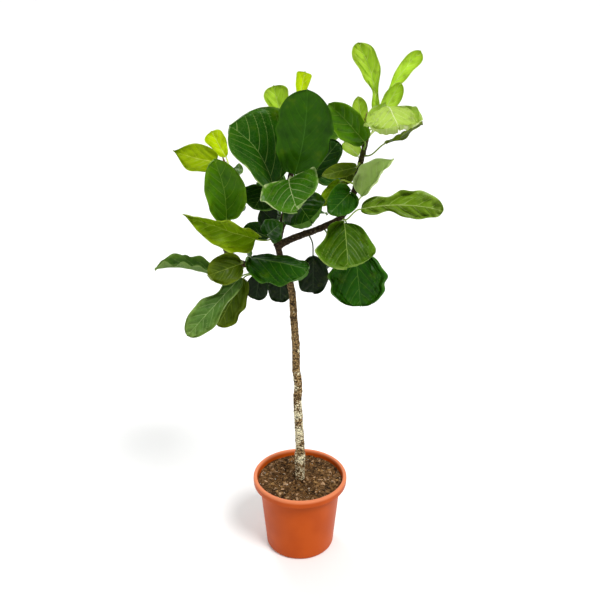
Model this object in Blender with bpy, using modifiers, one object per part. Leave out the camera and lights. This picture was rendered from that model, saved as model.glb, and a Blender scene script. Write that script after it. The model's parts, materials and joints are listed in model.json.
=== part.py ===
"""Fiddle leaf fig grown as a small standard tree, in a moulded plastic pot.

Units are metres, +Z is up, the origin is the middle of the pot's base, and the
crown's front faces -Y. The woody stem is one grown piece. Every leaf is a node
of its own: a petiole that leaves its limb square, then a blade.
"""

import math
from collections import namedtuple

import bmesh
import bpy
from mathutils import Vector

# ---------------------------------------------------------------- dimensions
MM = 0.001
POT_HEIGHT = 0.226
RIM_RADIUS = 0.135
LIP_HEIGHT = 0.021
LIP_INNER_RADIUS = 0.1245
SHOULDER_RADIUS = 0.1160
BASE_RADIUS = 0.0990
BASE_FILLET = 0.0140
WALL = 0.0022
FLOOR = 0.004
POT_STEPS = 40
DRAIN_HOLES = 8
DRAIN_HOLE_RADIUS = 0.006
DRAIN_CIRCLE = 0.062

SOIL_TOP = 0.2112
SOIL_MOUND = 0.003
GAP = 0.0003

STEM_FOOT = 0.110
STEM_SIDES = 12
LIMB_SIDES = 10
POINTS_EACH_SPAN = 2

PETIOLE_THICKNESS = 0.0045
BLADE_THICKNESS = 0.0014
PETIOLE_GAP = 0.0010
PETIOLE_STATIONS = 3
BLADE_STATIONS = 7
BLADE_COLUMNS = 5
WAIST_AT = 0.34
WAIST_SPAN = 0.16
NARROWEST_TIP = 0.05

BUD_LENGTH = 0.028
BUD_RADIUS = 0.0045

FRONT = Vector((0.0, -0.95, 0.30)).normalized()

# ------------------------------------------------------------------ the limbs
# Each limb: its route from the fork it grows from, then its first and last radius.
Limb = namedtuple("Limb", "route thick thin")
LIMBS = {
    "trunk": Limb(
        [
            (0.000, 0.000, STEM_FOOT),
            (0.000, 0.000, 0.215),
            (0.000, 0.000, 0.300),
            (-0.001, 0.000, 0.350),
            (-0.004, 0.002, 0.405),
            (-0.007, 0.001, 0.460),
            (-0.005, -0.002, 0.515),
            (-0.010, 0.000, 0.560),
            (-0.011, 0.002, 0.620),
            (-0.014, 0.000, 0.680),
            (-0.018, 0.000, 0.740),
            (-0.021, 0.000, 0.790),
            (-0.032, 0.000, 0.838),
            (-0.048, 0.000, 0.880),
            (-0.059, 0.000, 0.920),
        ],
        0.0135,
        0.0080,
    ),
    "left": Limb(
        [
            (-0.036, 0.000, 0.846),
            (-0.070, -0.004, 0.852),
            (-0.110, -0.012, 0.860),
            (-0.152, -0.028, 0.880),
            (-0.183, -0.040, 0.911),
            (-0.184, -0.042, 0.950),
            (-0.175, -0.036, 1.005),
            (-0.170, -0.020, 1.067),
            (-0.184, 0.008, 1.118),
        ],
        0.0085,
        0.0055,
    ),
    "centre": Limb(
        [
            (-0.059, 0.000, 0.914),
            (-0.048, -0.006, 0.960),
            (-0.038, -0.014, 1.010),
            (-0.030, -0.018, 1.065),
            (-0.016, -0.004, 1.130),
            (-0.006, 0.030, 1.185),
            (-0.002, 0.060, 1.235),
        ],
        0.0080,
        0.0055,
    ),
    "right": Limb(
        [
            (-0.059, 0.000, 0.914),
            (-0.020, -0.006, 0.936),
            (0.020, -0.012, 0.953),
            (0.063, -0.018, 0.972),
            (0.104, -0.020, 0.998),
            (0.130, -0.020, 1.048),
            (0.141, -0.012, 1.100),
            (0.152, -0.004, 1.146),
            (0.160, 0.000, 1.183),
            (0.160, 0.000, 1.222),
        ],
        0.0090,
        0.0060,
    ),
    "back": Limb(
        [
            (-0.045, -0.008, 0.972),
            (-0.030, 0.035, 1.000),
            (-0.010, 0.085, 1.035),
            (0.010, 0.125, 1.080),
            (0.020, 0.145, 1.130),
        ],
        0.0075,
        0.0055,
    ),
}

# ----------------------------------------------------------------- the leaves
# station: how far along its limb the petiole starts, 0 to 1.
# throat, tip, width: where the blade begins and ends, and its widest width, in mm.
# roll: degrees the blade is turned about its midrib, from facing the front.
# fold: degrees that its left and its right half rise from flat.
# bend, arch: how far the midrib bows to its right and upwards, as a part of its length.
# wave: how far the margin ripples, as a part of the width.
# age: young leaves are lime, full ones mid green and old ones dark.
Leaf = namedtuple("Leaf", "station throat tip width roll fold bend arch wave shape age")

# Each outline: where it is widest, how full its base is, how blunt its tip is, its waist.
Outline = namedtuple("Outline", "widest base tip waist")
OUTLINES = {
    "spoon": Outline(0.62, 2.2, 0.50, 0.00),
    "fiddle": Outline(0.66, 2.4, 0.50, 0.40),
    "round": Outline(0.50, 2.4, 0.50, 0.00),
    "egg": Outline(0.40, 2.4, 1.35, 0.00),
    "blunt": Outline(0.70, 2.4, 0.36, 0.00),
    "kite": Outline(0.57, 1.2, 0.60, 0.10),
    "trumpet": Outline(0.90, 1.1, 0.30, 0.20),
    "fan": Outline(0.78, 1.6, 0.42, 0.10),
    "paddle": Outline(0.82, 1.0, 0.60, 0.55),
}

LEAVES = {
    "centre": [
        Leaf(0.66, (-12, -74, 1116), (16, -106, 1310), 130, 0, (12, 12), 0.04, 0.04, 0.02, "spoon", "full"),
        Leaf(0.50, (-66, -35, 1080), (-162, -75, 1227), 214, 14, (50, 6), 0.09, 0.05, 0.02, "blunt", "old"),
        Leaf(0.58, (-26, -104, 1106), (-6, -238, 1070), 134, 8, (8, 8), 0.0, 0.10, 0.03, "round", "full"),
        Leaf(0.42, (-84, -58, 1072), (-108, -110, 1040), 92, 0, (10, 10), 0.0, 0.08, 0.03, "spoon", "old"),
        Leaf(0.36, (-5, -65, 1040), (28, -175, 1022), 112, 0, (5, 5), 0.0, 0.10, 0.03, "spoon", "old"),
        Leaf(0.62, (30, 10, 1092), (96, 45, 1170), 72, -10, (15, 15), 0.0, 0.06, 0.02, "round", "old"),
        Leaf(0.28, (-98, 16, 1008), (-62, -6, 980), 60, 20, (10, 10), 0.0, 0.06, 0.02, "spoon", "old"),
        Leaf(0.86, (-42, 90, 1205), (-66, 100, 1300), 72, 0, (35, 25), 0.0, -0.04, 0.05, "fan", "young"),
        Leaf(0.95, (-4, 110, 1255), (12, 120, 1332), 42, 0, (20, 20), 0.0, -0.04, 0.04, "trumpet", "young"),
        Leaf(0.10, (-107, -85, 958), (-266, -170, 1042), 88, -15, (20, 45), 0.0, 0.06, 0.03, "egg", "young"),
        Leaf(0.20, (-80, -40, 956), (-44, -108, 1006), 64, 0, (12, 12), 0.0, 0.04, 0.03, "round", "full"),
        Leaf(0.80, (40, 75, 1180), (95, 150, 1205), 85, 0, (10, 10), 0.0, 0.08, 0.03, "spoon", "old"),
        Leaf(0.74, (-60, 60, 1150), (-145, 120, 1175), 95, 0, (12, 12), 0.0, 0.08, 0.03, "spoon", "old"),
    ],
    "left": [
        Leaf(0.72, (-176, -90, 1010), (-196, -120, 1158), 100, 20, (16, 30), 0.04, 0.05, 0.03, "round", "full"),
        Leaf(0.96, (-208, 30, 1124), (-312, 20, 1153), 72, 0, (12, 12), -0.04, 0.06, 0.06, "egg", "young"),
        Leaf(0.98, (-186, 45, 1134), (-220, 50, 1196), 52, 0, (12, 25), 0.0, -0.04, 0.06, "fan", "young"),
        Leaf(0.44, (-145, -88, 896), (-222, -130, 880), 75, 0, (10, 10), 0.0, 0.10, 0.02, "round", "full"),
        Leaf(0.38, (-212, -20, 842), (-368, -30, 862), 68, 50, (60, 50), 0.03, 0.06, 0.03, "round", "young"),
        Leaf(0.28, (-150, -58, 850), (-280, -130, 722), 70, 0, (12, 12), 0.0, 0.08, 0.05, "fiddle", "full"),
        Leaf(0.22, (-146, -10, 830), (-213, -45, 712), 80, 0, (10, 10), 0.0, 0.06, 0.05, "spoon", "full"),
        Leaf(0.14, (-105, 15, 835), (-118, 30, 757), 58, 0, (10, 10), 0.0, 0.06, 0.02, "round", "old"),
        Leaf(0.34, (-122, -80, 910), (20, -134, 896), 135, -28, (-48, 4), 0.0, 0.05, 0.03, "round", "old"),
        Leaf(0.62, (-200, 20, 985), (-190, 125, 990), 100, 0, (10, 10), 0.0, 0.10, 0.03, "spoon", "old"),
        Leaf(0.84, (-160, 30, 1060), (-190, 130, 1065), 95, 0, (12, 12), 0.0, 0.08, 0.03, "spoon", "old"),
        Leaf(0.26, (-130, 45, 870), (-135, 145, 840), 95, 0, (10, 10), 0.0, 0.10, 0.03, "spoon", "old"),
    ],
    "right": [
        Leaf(0.82, (153, -35, 1185), (66, -85, 1278), 78, 0, (10, 45), 0.0, 0.05, 0.04, "spoon", "full"),
        Leaf(0.97, (140, -15, 1213), (106, -25, 1264), 36, 0, (25, 25), 0.0, 0.0, 0.12, "round", "young"),
        Leaf(0.98, (150, 18, 1222), (138, 10, 1283), 42, 0, (25, 25), 0.0, 0.0, 0.12, "round", "young"),
        Leaf(0.95, (182, 20, 1228), (136, 30, 1404), 64, -20, (50, 20), 0.08, -0.04, 0.05, "paddle", "young"),
        Leaf(0.93, (190, -5, 1232), (235, -20, 1318), 42, 10, (25, 25), 0.0, -0.04, 0.04, "spoon", "young"),
        Leaf(0.91, (190, 30, 1238), (287, 45, 1385), 45, 10, (30, 30), -0.05, -0.03, 0.04, "paddle", "young"),
        Leaf(0.96, (203, -42, 1266), (213, -190, 1236), 140, 0, (-16, -16), 0.0, 0.08, 0.03, "round", "young"),
        Leaf(0.78, (205, -20, 1178), (285, -50, 1232), 66, 86, (2, 2), 0.0, 0.02, 0.02, "spoon", "old"),
        Leaf(0.70, (144, 30, 1139), (111, 65, 1167), 40, 20, (10, 10), 0.0, 0.05, 0.04, "round", "young"),
        Leaf(0.52, (150, -40, 1054), (224, -35, 1143), 90, -40, (42, 42), 0.0, 0.03, 0.02, "egg", "full"),
        Leaf(0.44, (150, -35, 1020), (347, -60, 1022), 80, 0, (-12, -42), -0.06, 0.04, 0.14, "fiddle", "full"),
        Leaf(0.40, (108, -60, 993), (114, -150, 908), 150, 0, (-12, -12), 0.0, 0.10, 0.03, "kite", "full"),
        Leaf(0.34, (140, -25, 902), (156, -45, 768), 154, 0, (28, 12), 0.0, 0.06, 0.03, "round", "old"),
        Leaf(0.62, (96, -40, 1090), (50, -100, 1044), 36, 0, (20, 20), 0.0, 0.05, 0.04, "spoon", "young"),
        Leaf(0.56, (120, -58, 1066), (70, -130, 1034), 75, 0, (10, 10), 0.0, 0.08, 0.03, "round", "old"),
        Leaf(0.73, (135, -30, 1122), (52, -90, 1114), 36, 0, (20, 20), 0.0, 0.06, 0.04, "spoon", "full"),
        Leaf(0.66, (120, 20, 1112), (112, -5, 1074), 40, 0, (15, 15), 0.0, 0.06, 0.04, "round", "full"),
        Leaf(0.22, (34, 25, 880), (35, 45, 770), 82, 0, (12, 12), 0.0, 0.06, 0.02, "round", "old"),
        Leaf(0.44, (125, 35, 925), (135, 125, 880), 90, 0, (12, 12), 0.0, 0.08, 0.03, "spoon", "old"),
        Leaf(0.32, (92, 35, 880), (98, 125, 828), 90, 0, (10, 10), 0.0, 0.10, 0.03, "spoon", "old"),
    ],
    "trunk": [
        Leaf(0.96, (-80, 38, 926), (-150, 75, 936), 55, 30, (10, 10), 0.0, 0.08, 0.02, "spoon", "old"),
        Leaf(0.88, (-50, 40, 845), (-54, 60, 738), 70, 0, (12, 12), 0.0, 0.06, 0.02, "round", "old"),
    ],
    "back": [
        Leaf(0.94, (45, 160, 1142), (75, 250, 1200), 95, 0, (15, 15), 0.0, 0.06, 0.03, "spoon", "full"),
        Leaf(0.92, (-20, 170, 1125), (-85, 245, 1160), 100, 0, (12, 12), 0.0, 0.08, 0.03, "spoon", "full"),
        Leaf(0.72, (38, 145, 1060), (105, 230, 1060), 112, 0, (10, 10), 0.0, 0.10, 0.03, "fiddle", "old"),
        Leaf(0.60, (-40, 130, 1040), (-115, 205, 1035), 110, 0, (10, 10), 0.0, 0.10, 0.03, "fiddle", "old"),
        Leaf(0.45, (15, 100, 990), (25, 210, 965), 105, 0, (10, 10), 0.0, 0.10, 0.03, "spoon", "old"),
        Leaf(0.30, (-50, 75, 975), (-65, 175, 945), 100, 0, (10, 10), 0.0, 0.10, 0.03, "spoon", "old"),
    ],
}


# -------------------------------------------------------------------- helpers
def clear_scene():
    for obj in list(bpy.data.objects):
        bpy.data.objects.remove(obj, do_unlink=True)


def new_collection(name):
    made = bpy.data.collections.new(name)
    bpy.context.scene.collection.children.link(made)
    return made


def principled(name, colour, roughness):
    material = bpy.data.materials.new(name)
    material.use_nodes = True
    shader = material.node_tree.nodes["Principled BSDF"]
    shader.inputs["Base Color"].default_value = (*colour, 1.0)
    shader.inputs["Roughness"].default_value = roughness
    shader.inputs["Metallic"].default_value = 0.0
    return material


def add_object(name, mesh, collection, material=None):
    obj = bpy.data.objects.new(name, mesh)
    collection.objects.link(obj)
    if material:
        mesh.materials.append(material)
    return obj


def make_cutter(obj):
    obj.hide_render = True
    obj.display_type = "WIRE"


def smooth_point(points, place):
    """A point at place (0 to 1) of the smooth curve that passes through the points."""
    spans = len(points) - 1
    along = min(max(place, 0.0), 1.0) * spans
    i = min(int(along), spans - 1)
    u = along - i
    p1, p2 = Vector(points[i]), Vector(points[i + 1])
    p0 = Vector(points[i - 1]) if i else 2 * p1 - p2
    p3 = Vector(points[i + 2]) if i + 2 <= spans else 2 * p2 - p1
    bend = (2 * p0 - 5 * p1 + 4 * p2 - p3) * u * u + (3 * p1 - p0 - 3 * p2 + p3) * u**3
    return 0.5 * (2 * p1 + (p2 - p0) * u + bend)


def limb_point(limb, place):
    return smooth_point(LIMBS[limb].route, place)


def limb_tangent(limb, place):
    step = 0.01
    return (limb_point(limb, place + step) - limb_point(limb, place - step)).normalized()


def limb_radius(limb, place):
    return LIMBS[limb].thick + (LIMBS[limb].thin - LIMBS[limb].thick) * place


def turned(name, profile, steps, collection, material):
    """A solid of revolution about Z. The profile runs down its outer side."""
    mesh = bpy.data.meshes.new(name)
    edges = [(i, i + 1) for i in range(len(profile) - 1)]
    mesh.from_pydata([(r, 0.0, z) for r, z in profile], edges, [])
    obj = add_object(name, mesh, collection, material)
    screw = obj.modifiers.new("turn", "SCREW")
    screw.steps = steps
    screw.render_steps = steps
    screw.use_merge_vertices = True
    screw.merge_threshold = 0.0001
    screw.use_smooth_shade = True
    return obj


# ------------------------------------------------------------- pot and soil
def pot_profile():
    """The wall's inner face from the floor up, over the rolled lip, and down the outside."""
    shoulder = POT_HEIGHT - LIP_HEIGHT
    lip_wall = 0.0028
    top = POT_HEIGHT
    inside = [
        (0.0, FLOOR),
        (BASE_RADIUS - 0.0125, FLOOR),
        (BASE_RADIUS - 0.0058, FLOOR + 0.002),
        (BASE_RADIUS - 0.0030, FLOOR + 0.007),
        (SHOULDER_RADIUS - WALL, shoulder - 0.0005),
        (SHOULDER_RADIUS - WALL + 0.0012, shoulder + 0.0022),
        (LIP_INNER_RADIUS - 0.0040, shoulder + 0.0030),
    ]
    lip = [
        (LIP_INNER_RADIUS - 0.0018, shoulder + 0.0045),
        (LIP_INNER_RADIUS - 0.0010, top - 0.0035),
        (LIP_INNER_RADIUS + 0.0015, top - 0.0008),
        (LIP_INNER_RADIUS + 0.0045, top),
        (RIM_RADIUS - 0.0028, top - 0.0010),
        (RIM_RADIUS - 0.0006, top - 0.0040),
        (RIM_RADIUS, top - 0.0080),
        (RIM_RADIUS - 0.0004, shoulder + 0.0035),
        (RIM_RADIUS - 0.0016, shoulder + 0.0005),
        (RIM_RADIUS - lip_wall, shoulder + 0.0010),
        (RIM_RADIUS - lip_wall, top - 0.0070),
        (LIP_INNER_RADIUS + 0.0040, top - lip_wall),
        (LIP_INNER_RADIUS + 0.0015, top - 0.0055),
        (LIP_INNER_RADIUS + 0.0012, shoulder + 0.0035),
        (LIP_INNER_RADIUS - 0.0010, shoulder + 0.0008),
    ]
    outside = [
        (SHOULDER_RADIUS + 0.0022, shoulder + 0.0002),
        (SHOULDER_RADIUS + 0.0012, shoulder - 0.010),
        (SHOULDER_RADIUS, shoulder - 0.012),
    ]
    corner_steps = 4
    corner = []
    for i in range(corner_steps + 1):
        angle = math.radians(90 * i / corner_steps)
        r = BASE_RADIUS - BASE_FILLET * (1 - math.cos(angle))
        corner.append((r, BASE_FILLET * (1 - math.sin(angle))))
    return inside + lip + outside + corner + [(0.0, 0.0)]


def make_pot(collection, cutters):
    plastic = principled("terracotta_plastic", (0.58, 0.13, 0.03), 0.5)
    pot = turned("pot", pot_profile(), POT_STEPS, collection, plastic)
    half_step = math.pi / POT_STEPS
    for i in range(DRAIN_HOLES):
        angle = math.tau * i / DRAIN_HOLES + half_step
        mesh = bpy.data.meshes.new(f"drain_{i + 1}")
        shape = bmesh.new()
        bmesh.ops.create_cone(
            shape,
            cap_ends=True,
            segments=10,
            radius1=DRAIN_HOLE_RADIUS,
            radius2=DRAIN_HOLE_RADIUS,
            depth=4 * FLOOR,
        )
        shape.to_mesh(mesh)
        shape.free()
        cutter = add_object(mesh.name, mesh, cutters)
        cutter.location = (DRAIN_CIRCLE * math.cos(angle), DRAIN_CIRCLE * math.sin(angle), 0.0)
        make_cutter(cutter)
        cut = pot.modifiers.new(mesh.name, "BOOLEAN")
        cut.operation = "DIFFERENCE"
        cut.object = cutter
    return pot


def make_soil(collection):
    """The potting mix and root ball: it fills the pot and has a socket for the stem's foot."""
    soil = principled("potting_mix", (0.09, 0.05, 0.03), 0.95)
    shoulder = POT_HEIGHT - LIP_HEIGHT
    inner_base = BASE_RADIUS - 0.0030
    inner_top = SHOULDER_RADIUS - WALL
    socket = LIMBS["trunk"].thick + 2 * GAP
    edge = LIP_INNER_RADIUS - 0.0028
    profile = [
        (0.0, STEM_FOOT - GAP),
        (socket, STEM_FOOT - GAP),
        (socket, SOIL_TOP + SOIL_MOUND),
        (0.035, SOIL_TOP + SOIL_MOUND),
        (0.078, SOIL_TOP - 0.001),
        (edge - 0.010, SOIL_TOP + 0.0008),
        (edge, SOIL_TOP),
        (edge, shoulder + 0.0054),
        (LIP_INNER_RADIUS - 0.0052, shoulder + 0.0038),
        (inner_top + 0.0004, shoulder + 0.0030),
        (inner_top - 0.0008, shoulder - 0.001),
        (inner_base - 2 * GAP, FLOOR + 0.008),
        (BASE_RADIUS - 0.0140, FLOOR + 2 * GAP),
        (0.0, FLOOR + 2 * GAP),
    ]
    return turned("potting_soil", profile, POT_STEPS, collection, soil)


# ---------------------------------------------------------------- woody stem
def tube(name, limb, sides):
    """A limb as a closed tapering tube, made from a bevelled curve."""
    curve = bpy.data.curves.new(name, "CURVE")
    curve.dimensions = "3D"
    curve.bevel_depth = 0.01
    curve.bevel_resolution = (sides - 4) // 2
    curve.use_fill_caps = True
    spline = curve.splines.new("POLY")
    count = POINTS_EACH_SPAN * (len(LIMBS[limb].route) - 1) + 1
    spline.points.add(count - 1)
    for i, point in enumerate(spline.points):
        place = i / (count - 1)
        point.co = (*limb_point(limb, place), 1.0)
        point.radius = limb_radius(limb, place) / curve.bevel_depth
    guide = bpy.data.objects.new(name + "_curve", curve)
    bpy.context.scene.collection.objects.link(guide)
    bpy.context.view_layer.update()
    graph = bpy.context.evaluated_depsgraph_get()
    mesh = bpy.data.meshes.new_from_object(guide.evaluated_get(graph))
    mesh.name = name
    shape = bmesh.new()
    shape.from_mesh(mesh)
    bmesh.ops.remove_doubles(shape, verts=shape.verts, dist=0.00001)
    shape.to_mesh(mesh)
    shape.free()
    bpy.data.objects.remove(guide, do_unlink=True)
    mesh.shade_smooth()
    return mesh


def make_stem(collection, cutters):
    bark = principled("fig_bark", (0.16, 0.10, 0.06), 0.85)
    stem = add_object("woody_stem", tube("woody_stem", "trunk", STEM_SIDES), collection, bark)
    for limb in LIMBS:
        if limb == "trunk":
            continue
        branch = add_object(limb + "_limb", tube(limb + "_limb", limb, LIMB_SIDES), cutters)
        make_cutter(branch)
        join = stem.modifiers.new(limb, "BOOLEAN")
        join.operation = "UNION"
        join.object = branch
    return stem


def make_bud(limb, collection, material):
    """The pointed brown sheath that wraps a limb's growing tip."""
    mesh = bpy.data.meshes.new(limb + "_bud")
    shape = bmesh.new()
    bmesh.ops.create_uvsphere(shape, u_segments=8, v_segments=6, radius=1.0)
    bmesh.ops.scale(shape, vec=(BUD_RADIUS, BUD_RADIUS, BUD_LENGTH / 2), verts=shape.verts)
    shape.to_mesh(mesh)
    shape.free()
    mesh.shade_smooth()
    bud = add_object(mesh.name, mesh, collection, material)
    heading = limb_tangent(limb, 1.0)
    bud.rotation_mode = "QUATERNION"
    bud.rotation_quaternion = heading.to_track_quat("Z", "Y")
    bud.location = limb_point(limb, 1.0) + heading * (BUD_LENGTH / 2 + 2 * GAP)
    return bud


# -------------------------------------------------------------------- leaves
def blade_outline(t, shape):
    """Half width at t along the blade, as a part of the widest half width."""
    outline = OUTLINES[shape]
    if t < outline.widest:
        fullness = max(0.0, 1.0 - (1.0 - t / outline.widest) ** outline.base) ** 0.5
    else:
        past = (t - outline.widest) / (1.0 - outline.widest)
        fullness = max(0.0, 1.0 - past**2.2) ** outline.tip
    return fullness * (1.0 - outline.waist * math.exp(-(((t - WAIST_AT) / WAIST_SPAN) ** 2)))


def leaf_frame(leaf):
    """Throat, direction to the tip, length, upper side's normal, and the side to its right."""
    throat = Vector(leaf.throat) * MM
    along = Vector(leaf.tip) * MM - throat
    length = along.length
    along.normalize()
    face = (FRONT - along * FRONT.dot(along)).normalized()
    side = along.cross(face)
    roll = math.radians(leaf.roll)
    normal = face * math.cos(roll) + side * math.sin(roll)
    return throat, along, length, normal, along.cross(normal)


def petiole_start(limb, leaf):
    """A point just off the limb's bark, on the side where the leaf's throat is, and the way out."""
    axis_point = limb_point(limb, leaf.station)
    tangent = limb_tangent(limb, leaf.station)
    outward = Vector(leaf.throat) * MM - axis_point
    outward -= tangent * outward.dot(tangent)
    outward.normalize()
    return axis_point + outward * (limb_radius(limb, leaf.station) + PETIOLE_GAP), outward


def petiole_rows(limb, leaf):
    """Spine points and side directions from the limb to just short of the throat."""
    throat, along, length, normal, side = leaf_frame(leaf)
    start, outward = petiole_start(limb, leaf)
    leave = (along + normal * 4 * leaf.arch).normalized()
    reach = 0.4 * (throat - start).length
    bezier = [start, start + outward * reach, throat - leave * reach, throat]
    rows = []
    for row in reversed(range(PETIOLE_STATIONS)):
        t = row / PETIOLE_STATIONS
        spine = Vector()
        for k, knot in enumerate(bezier):
            spine += knot * math.comb(3, k) * (1 - t) ** (3 - k) * t**k
        heading = Vector()
        for k in range(3):
            heading += (bezier[k + 1] - bezier[k]) * math.comb(2, k) * (1 - t) ** (2 - k) * t**k
        heading.normalize()
        side = (side - heading * side.dot(heading)).normalized()
        rows.insert(0, (spine, side))
    return rows


def leaf_points(limb, leaf):
    """The leaf's middle surface, row by row from the limb to the tip, with each row's thickness."""
    throat, along, length, normal, side = leaf_frame(leaf)
    widest_half = leaf.width * MM / 2
    places = [2.0 * i / (BLADE_COLUMNS - 1) - 1.0 for i in range(BLADE_COLUMNS)]
    points = []
    thickness = []
    for spine, across in petiole_rows(limb, leaf):
        points.append([spine + across * q * PETIOLE_THICKNESS / 2 for q in places])
        thickness.append(PETIOLE_THICKNESS)
    for i in range(BLADE_STATIONS):
        t = 0.5 - 0.5 * math.cos(math.pi * i / (BLADE_STATIONS - 1))
        bow = 4 * t * (1 - t) * length
        spine = throat + along * (length * t) + normal * (bow * leaf.arch) + side * (bow * leaf.bend)
        half = widest_half * max(blade_outline(t, leaf.shape), NARROWEST_TIP)
        half = max(half, PETIOLE_THICKNESS / 2 if t < 0.5 else 0.0)
        row = []
        for q in places:
            fold = math.radians(leaf.fold[0] if q < 0 else leaf.fold[1])
            ripple = 2 * leaf.wave * widest_half * q * q * math.sin(math.tau * 1.5 * t + q)
            lift = half * abs(q) * math.sin(fold) + ripple
            row.append(spine + side * (half * q * math.cos(fold)) + normal * lift)
        points.append(row)
        thickness.append(BLADE_THICKNESS if i else PETIOLE_THICKNESS)
    return points, thickness


def make_leaf(name, limb, leaf, collection, material):
    points, thickness = leaf_points(limb, leaf)
    last_row = len(points) - 1
    last_column = BLADE_COLUMNS - 1
    mesh = bpy.data.meshes.new(name)
    shape = bmesh.new()
    bmesh.ops.create_grid(shape, x_segments=last_column, y_segments=last_row, size=1.0)
    weights = []
    for vert in shape.verts:
        column = round((vert.co.x + 1) / 2 * last_column)
        row = round((vert.co.y + 1) / 2 * last_row)
        vert.co = points[row][column]
        weights.append(thickness[row] / PETIOLE_THICKNESS)
    shape.to_mesh(mesh)
    shape.free()
    mesh.shade_smooth()
    obj = add_object(name, mesh, collection, material)
    group = obj.vertex_groups.new(name="thickness")
    for index, weight in enumerate(weights):
        group.add([index], weight, "REPLACE")
    shell = obj.modifiers.new("shell", "SOLIDIFY")
    shell.thickness = PETIOLE_THICKNESS
    shell.offset = 0.0
    shell.vertex_group = "thickness"
    return obj


def main():
    clear_scene()
    plant = new_collection("potted_fiddle_leaf_fig")
    cutters = new_collection("cutters")
    make_pot(plant, cutters)
    make_soil(plant)
    make_stem(plant, cutters)
    sheath = principled("bud_sheath", (0.14, 0.07, 0.03), 0.8)
    leaf_colours = {
        "young": principled("young_leaf", (0.30, 0.42, 0.04), 0.4),
        "full": principled("full_leaf", (0.09, 0.20, 0.02), 0.35),
        "old": principled("old_leaf", (0.03, 0.08, 0.01), 0.3),
    }
    for limb in LIMBS:
        if limb != "trunk":
            make_bud(limb, plant, sheath)
        for number, leaf in enumerate(LEAVES[limb], 1):
            make_leaf(f"{limb}_leaf_{number:02d}", limb, leaf, plant, leaf_colours[leaf.age])


main()
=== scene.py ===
"""Fiddle leaf fig grown as a small standard tree in a terracotta coloured pot: the finished looks.

Units are metres, +Z is up and the crown's front faces -Y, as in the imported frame.
Limb routes and leaf rows are the frame's own, so each piece lies where its node does.
"""

import json
import math
import random
from collections import namedtuple

import bmesh
import bpy
import numpy as np
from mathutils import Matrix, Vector, noise

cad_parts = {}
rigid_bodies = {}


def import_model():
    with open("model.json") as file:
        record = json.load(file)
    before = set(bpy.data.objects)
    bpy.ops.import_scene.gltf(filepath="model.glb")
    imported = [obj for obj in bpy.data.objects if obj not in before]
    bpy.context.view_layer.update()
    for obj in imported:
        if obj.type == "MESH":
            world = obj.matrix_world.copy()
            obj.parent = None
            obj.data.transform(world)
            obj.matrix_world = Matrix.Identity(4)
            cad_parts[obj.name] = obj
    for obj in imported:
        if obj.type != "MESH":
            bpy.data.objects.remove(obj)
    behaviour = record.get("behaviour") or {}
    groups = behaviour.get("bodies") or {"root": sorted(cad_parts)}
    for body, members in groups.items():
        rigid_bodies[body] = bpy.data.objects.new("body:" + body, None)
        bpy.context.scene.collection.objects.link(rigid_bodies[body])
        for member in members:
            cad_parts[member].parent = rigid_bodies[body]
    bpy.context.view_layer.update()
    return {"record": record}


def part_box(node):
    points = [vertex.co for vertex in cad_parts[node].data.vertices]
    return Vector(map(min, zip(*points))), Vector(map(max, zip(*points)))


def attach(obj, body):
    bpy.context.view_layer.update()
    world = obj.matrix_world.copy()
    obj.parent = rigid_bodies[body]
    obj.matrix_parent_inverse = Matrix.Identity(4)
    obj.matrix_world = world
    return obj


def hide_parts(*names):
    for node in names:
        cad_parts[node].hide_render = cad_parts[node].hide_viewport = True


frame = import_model()

MM = 0.001
SLOT_OF = {part["node"]: part["material_slot"] for part in frame["record"]["subparts"]}

# ------------------------------------------------------------------ the limbs
# Each limb: its route from the fork it grows from, then its first and last radius, all in mm.
STEM_FOOT = 110
Limb = namedtuple("Limb", "route thick thin")
LIMB_ROWS = {
    "trunk": (
        [
            (0, 0, STEM_FOOT), (0, 0, 215), (0, 0, 300), (-1, 0, 350), (-4, 2, 405),
            (-7, 1, 460), (-5, -2, 515), (-10, 0, 560), (-11, 2, 620), (-14, 0, 680),
            (-18, 0, 740), (-21, 0, 790), (-32, 0, 838), (-48, 0, 880), (-59, 0, 920),
        ],
        13.5,
        8,
    ),
    "left": (
        [
            (-36, 0, 846), (-70, -4, 852), (-110, -12, 860), (-152, -28, 880),
            (-183, -40, 911), (-184, -42, 950), (-175, -36, 1005), (-170, -20, 1067),
            (-184, 8, 1118),
        ],
        8.5,
        5.5,
    ),
    "centre": (
        [
            (-59, 0, 914), (-48, -6, 960), (-38, -14, 1010), (-30, -18, 1065), (-16, -4, 1130),
            (-6, 30, 1185), (-2, 60, 1235),
        ],
        8,
        5.5,
    ),
    "right": (
        [
            (-59, 0, 914), (-20, -6, 936), (20, -12, 953), (63, -18, 972), (104, -20, 998),
            (130, -20, 1048), (141, -12, 1100), (152, -4, 1146), (160, 0, 1183),
            (160, 0, 1222),
        ],
        9,
        6,
    ),
    "back": (
        [
            (-45, -8, 972), (-30, 35, 1000), (-10, 85, 1035), (10, 125, 1080), (20, 145, 1130),
        ],
        7.5,
        5.5,
    ),
}
LIMBS = {}
for limb, (route, thick, thin) in LIMB_ROWS.items():
    route = [tuple(part * MM for part in knot) for knot in route]
    LIMBS[limb] = Limb(route, thick * MM, thin * MM)

# ----------------------------------------------------------------- the leaves
# station: how far along its limb the petiole starts, 0 to 1.
# throat, tip, width: where the blade begins and ends, and its widest width, in mm.
# roll: degrees the blade is turned about its midrib, from facing the front.
# fold: degrees that its left and its right half rise from flat.
# bend, arch: how far the midrib bows to its right and upwards, as a part of its length.
# wave: how far the margin ripples, as a part of the width.
# tone: the name of its colours in TONES.
Leaf = namedtuple("Leaf", "station throat tip width roll fold bend arch wave shape tone")

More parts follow.
